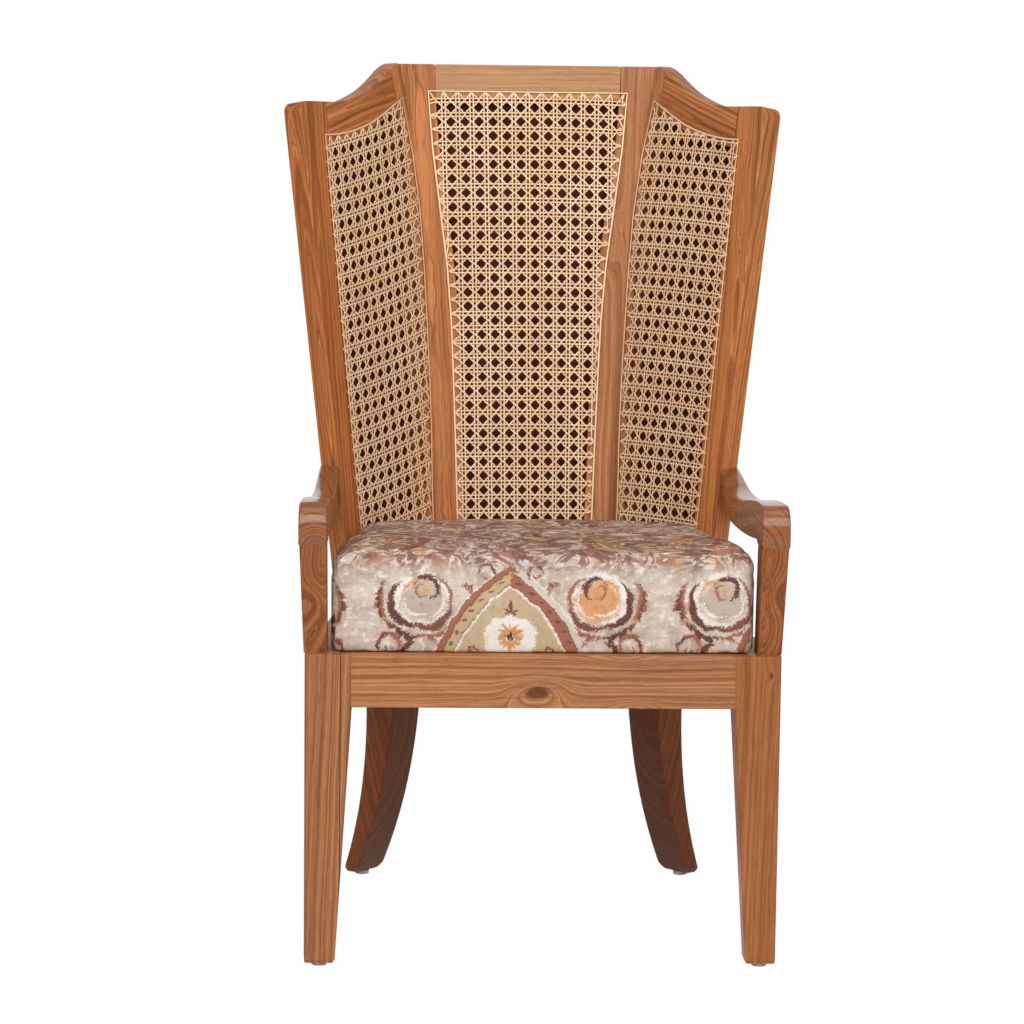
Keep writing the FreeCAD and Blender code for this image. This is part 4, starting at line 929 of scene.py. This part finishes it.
def scroll_print():
    """Traditional scrolls, leaves and ogees in plum, rust and tan on a mottled cream ground, laid denser on
    the top, partly as painted shade.
    """
    material, wire, out = new_material("scroll_print")
    print_place = wire.node("UVMap", {"uv_map": "print"})
    sheet = print_place.vector("MULTIPLY", print_place, (1000.0, 1000.0, 0.0))
    wide_warp, fine_warp, left_of_middle = 13.0, 3.5, 39.9
    wide_sway, fine_sway = sheet.noise(0.045, 3.0, 0.6, output=1), sheet.noise(0.26, 3.0, 0.7, output=1)
    bent = sheet.vector("MULTIPLY_ADD", wide_sway, (wide_warp, wide_warp, 0.0), sheet)
    bent = bent.vector("MULTIPLY_ADD", fine_sway, (fine_warp, fine_warp, 0.0), bent)
    shift = -(wide_warp + fine_warp) / 2
    bent = bent.vector("ADD", bent, (shift + left_of_middle, shift, 0.0))

    def parts(vector):
        """Across and up, in millimetres of the print."""
        split = vector.node("SeparateXYZ", None, {0: vector}).socket.node.outputs
        return Wire(wire.tree, split[0]), Wire(wire.tree, split[1])

    half_repeat, drop, flower_high = 181.0, 235.0, 20.6
    x, y = parts(bent)
    row = y.math("FLOOR", (y - flower_high) / drop + 0.5)
    high = y - row * drop - flower_high
    across = x + row.math("ABSOLUTE", row) * half_repeat
    side = across.math("PINGPONG", across, half_repeat)
    turned = (across / half_repeat).math("FLOORED_MODULO", across / half_repeat, 2.0).between(0.99, 1.01)
    place = side.node("CombineXYZ", None, {0: side, 1: high})

    mottle = sheet.noise(0.024, 4.0, 0.6)
    wash = sheet.noise(0.10, 4.0, 0.65)
    brush = sheet.noise(0.42, 4.0, 0.7)
    weave = sheet.noise(1.6, 2.0, 0.5)
    ragged = (brush - 0.5) * 15.0

    def swash(centre, radius, width, toward, spread, teeth=0.0, soft=1.0):
        """A stroke round a centre: widest towards an angle and toothed like a leaf."""
        rel = place.vector("SUBTRACT", place, (*centre, 0.0))
        sine, cosine = math.sin(math.radians(toward)), math.cos(math.radians(toward))
        ahead = rel.vector("DOT_PRODUCT", rel, (cosine, sine, 0.0), output=1)
        aside = rel.vector("DOT_PRODUCT", rel, (-sine, cosine, 0.0), output=1)
        angle = aside.math("ARCTAN2", aside, ahead)
        wide_angle = math.radians(spread)
        share = angle.node("MapRange", None, {0: angle, 1: -wide_angle, 2: wide_angle})
        swell = (share * math.pi).math("SINE", share * math.pi)
        if teeth:
            bite = (share * teeth).math("FRACT", share * teeth)
            swell = swell * (1.0 - bite * 0.62)
        half = swell * (width / 2)
        off = rel.vector("LENGTH", rel, output=1) - radius - half
        ends = swell.between(0.0, 0.25)
        stroke = half - off.math("ABSOLUTE", off) + ragged * ends
        return stroke.between(-0.1, soft) * ends

    def disc(centre, radius, soft=2.0):
        """A ragged round patch."""
        rel = place.vector("DISTANCE", place, (*centre, 0.0), output=1)
        return (radius - rel + ragged).between(-soft / 2, soft / 2)

    plum, brown, rust = srgb(100, 58, 50), srgb(122, 74, 58), srgb(156, 98, 76)
    orange, tan = srgb(206, 142, 84), srgb(188, 164, 126)
    cream, white, beige = srgb(206, 190, 176), srgb(230, 220, 210), srgb(182, 163, 146)
    colour = mottle.between(0.38, 0.62).tint(beige, cream)
    colour = (wash.between(0.50, 0.66) * 0.8).tint(colour, white)
    colour = (brush.between(0.54, 0.70) * 0.4).tint(colour, beige)

    # ogee round each flower: an arch above it and a pointed bowl below
    upper = high.between(-31.0, -29.0)
    arch = place.vector("DISTANCE", place, (-127.5, -110.4, 0.0), output=1) - 213.9
    bowl = place.vector("DISTANCE", place, (-66.5, -30.0, 0.0), output=1) - 137.2
    rim = arch * upper + bowl * (1.0 - upper) + ragged * 0.5
    colour = ((rim * -1.0).between(-0.5, 0.5) * 0.85).tint(colour, tan)
    band_near, band_far = turned.tint(rust, tan), turned.tint(cream, rust)
    for middle, half, shade in (
        (1.0, 1.2, white), (9.0, 6.2, band_near), (19.5, 4.6, band_far),
        (15.4, 0.9, brown), (24.2, 0.8, white), (3.2, 0.6, brown),
    ):
        away = rim - middle
        stripe = half - away.math("ABSOLUTE", away)
        colour = stripe.between(-0.6, 0.9).tint(colour, shade)
    dots = (high / 12.0).math("FRACT", high / 12.0) - 0.5
    from_dot = rim.node("CombineXYZ", None, {0: rim - 10.0, 1: dots * 12.0})
    dot = from_dot.vector("LENGTH", from_dot, output=1)
    colour = ((2.2 - dot).between(-0.4, 0.8) * 0.8).tint(colour, plum)

    # scroll beside the ogee: a shell with a curl inside and leaves outside
    scroll, curl = (108.0, 45.0), (146.0, -12.0)
    fill = turned.tint(orange, beige)
    colour = (disc(scroll, 36.0, 5.0) * wash.between(0.36, 0.58)).tint(colour, white)
    colour = (disc((105.0, 42.0), 26.0, 10.0) * 0.9).tint(colour, fill)
    for centre, radius, width, toward, spread, teeth, shade in (
        (scroll, 32.0, 10.5, -28.0, 80.0, 0.0, plum), (scroll, 33.0, 9.0, 232.0, 64.0, 0.0, brown),
        (scroll, 33.0, 6.5, 165.0, 52.0, 0.0, rust), (scroll, 29.0, 2.8, -20.0, 84.0, 0.0, white),
        (scroll, 45.5, 14.0, -14.0, 50.0, 6.0, rust), (scroll, 49.0, 7.0, -10.0, 40.0, 7.0, plum),
        (scroll, 44.0, 12.0, -62.0, 32.0, 4.0, plum), (scroll, 43.0, 9.0, 250.0, 30.0, 4.0, rust),
        ((104.0, 56.0), 13.0, 8.0, 130.0, 125.0, 0.0, plum),
        ((105.0, 55.0), 7.0, 5.0, -10.0, 130.0, 0.0, rust),
        ((106.0, 54.0), 1.5, 4.5, 200.0, 150.0, 0.0, orange), (scroll, 22.0, 4.5, 60.0, 70.0, 0.0, orange),
        (scroll, 20.0, 4.0, -60.0, 60.0, 0.0, white), (scroll, 25.0, 3.0, 200.0, 60.0, 0.0, white),
        ((112.0, -18.0), 12.0, 8.0, 20.0, 62.0, 0.0, plum),
        ((100.0, -16.0), 14.0, 5.0, 120.0, 50.0, 3.0, rust),
        (curl, 11.0, 6.5, 90.0, 160.0, 0.0, rust), (curl, 12.5, 3.0, 40.0, 90.0, 0.0, plum),
        (curl, 3.0, 3.4, 270.0, 150.0, 0.0, brown), ((150.0, 10.0), 9.0, 4.0, 90.0, 90.0, 5.0, tan),
        ((171.0, 2.0), 10.0, 4.0, 140.0, 60.0, 4.0, beige), ((46.0, -20.0), 6.0, 6.0, 90.0, 90.0, 4.0, brown),
        ((64.0, 47.0), 17.0, 8.0, 140.0, 40.0, 5.0, rust), ((58.0, 52.0), 13.0, 5.0, 130.0, 50.0, 4.0, brown),
        ((30.0, 78.0), 8.0, 5.0, 110.0, 150.0, 0.0, plum), ((30.0, 77.0), 3.0, 4.0, 290.0, 120.0, 0.0, rust),
        ((12.0, 76.0), 10.0, 6.0, 150.0, 60.0, 3.0, orange), ((0.0, 66.0), 15.0, 9.0, 90.0, 36.0, 3.0, rust),
    ):
        colour = swash(centre, radius, width, toward, spread, teeth).tint(colour, shade)

    # flower and the fleur above it
    for turn_by in (18.0, 54.0, 90.0, 126.0, 162.0, 205.0, 245.0, 295.0, 335.0):
        spot = (24.0 * math.cos(math.radians(turn_by)), 17.0 * math.sin(math.radians(turn_by)))
        colour = disc(spot, 9.0, 2.0).tint(colour, white)
    for centre, radius, width, toward, spread, teeth, shade in (
        ((0.0, 0.0), 0.0, 26.0, 90.0, 170.0, 7.0, white),
        ((0.0, -1.0), 5.0, 13.0, 40.0, 140.0, 9.0, orange),
        ((0.0, -1.0), 5.0, 12.0, 240.0, 130.0, 7.0, orange),
        ((0.0, 0.0), 15.0, 7.0, 118.0, 34.0, 3.0, brown), ((0.0, -1.0), 0.0, 7.0, 90.0, 170.0, 0.0, plum),
        ((0.0, 26.0), 0.0, 20.0, 90.0, 24.0, 0.0, brown), ((0.0, 27.0), 2.0, 9.0, 30.0, 50.0, 2.0, brown),
    ):
        colour = swash(centre, radius, width, toward, spread, teeth).tint(colour, shade)

    # long leaves and arcs between the rows, on top of the cushion: print, laid denser and darker over the
    # whole top, which is partly painted shade of the top face, lit less than the front
    long = sheet.vector("MULTIPLY", sheet, (1.0, 0.85, 0.0))
    on_top = y.between(94.0, 120.0)
    flow = long.noise(0.012, 4.0, 0.58, 1.4)
    shade = long.noise(0.022, 3.0, 0.6)
    leaves_and_top_shade = (flow.between(0.47, 0.52) * 0.85) * on_top
    colour = leaves_and_top_shade.tint(colour, shade.between(0.42, 0.58).tint(plum, rust))
    vein = flow - 0.44
    colour = ((1.0 - vein.math("ABSOLUTE", vein).between(0.012, 0.030)) * on_top * 0.85).tint(colour, brown)
    vein = flow - 0.60
    colour = ((1.0 - vein.math("ABSOLUTE", vein).between(0.010, 0.026)) * on_top * 0.7).tint(colour, white)
    specks = long.noise(0.026, 4.0, 0.6, 1.2)
    colour = (specks.between(0.53, 0.60) * on_top * 0.75).tint(colour, brown)
    colour = ((1.0 - specks.between(0.35, 0.42)) * on_top * 0.6).tint(colour, orange)

    # dry brush: the ground shows through the strokes, and specks of them lie on the ground
    colour = (brush.between(0.58, 0.70) * 0.42).tint(colour, cream)
    colour = ((1.0 - brush.between(0.30, 0.43)) * 0.42).tint(colour, brown)
    colour = ((1.0 - wash.between(0.34, 0.44)) * 0.22).tint(colour, brown)
    surface(wire, out, {
        "Base Color": colour, "Roughness": 0.66 + brush * 0.1, "Specular IOR Level": 0.3,
    }, bump=weave + brush, depth=0.00025)
    return material


cushion.data.materials.clear()
cushion.data.materials.append(scroll_print())
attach(cushion, "root")
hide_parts("seat_cushion", "seat_foam")
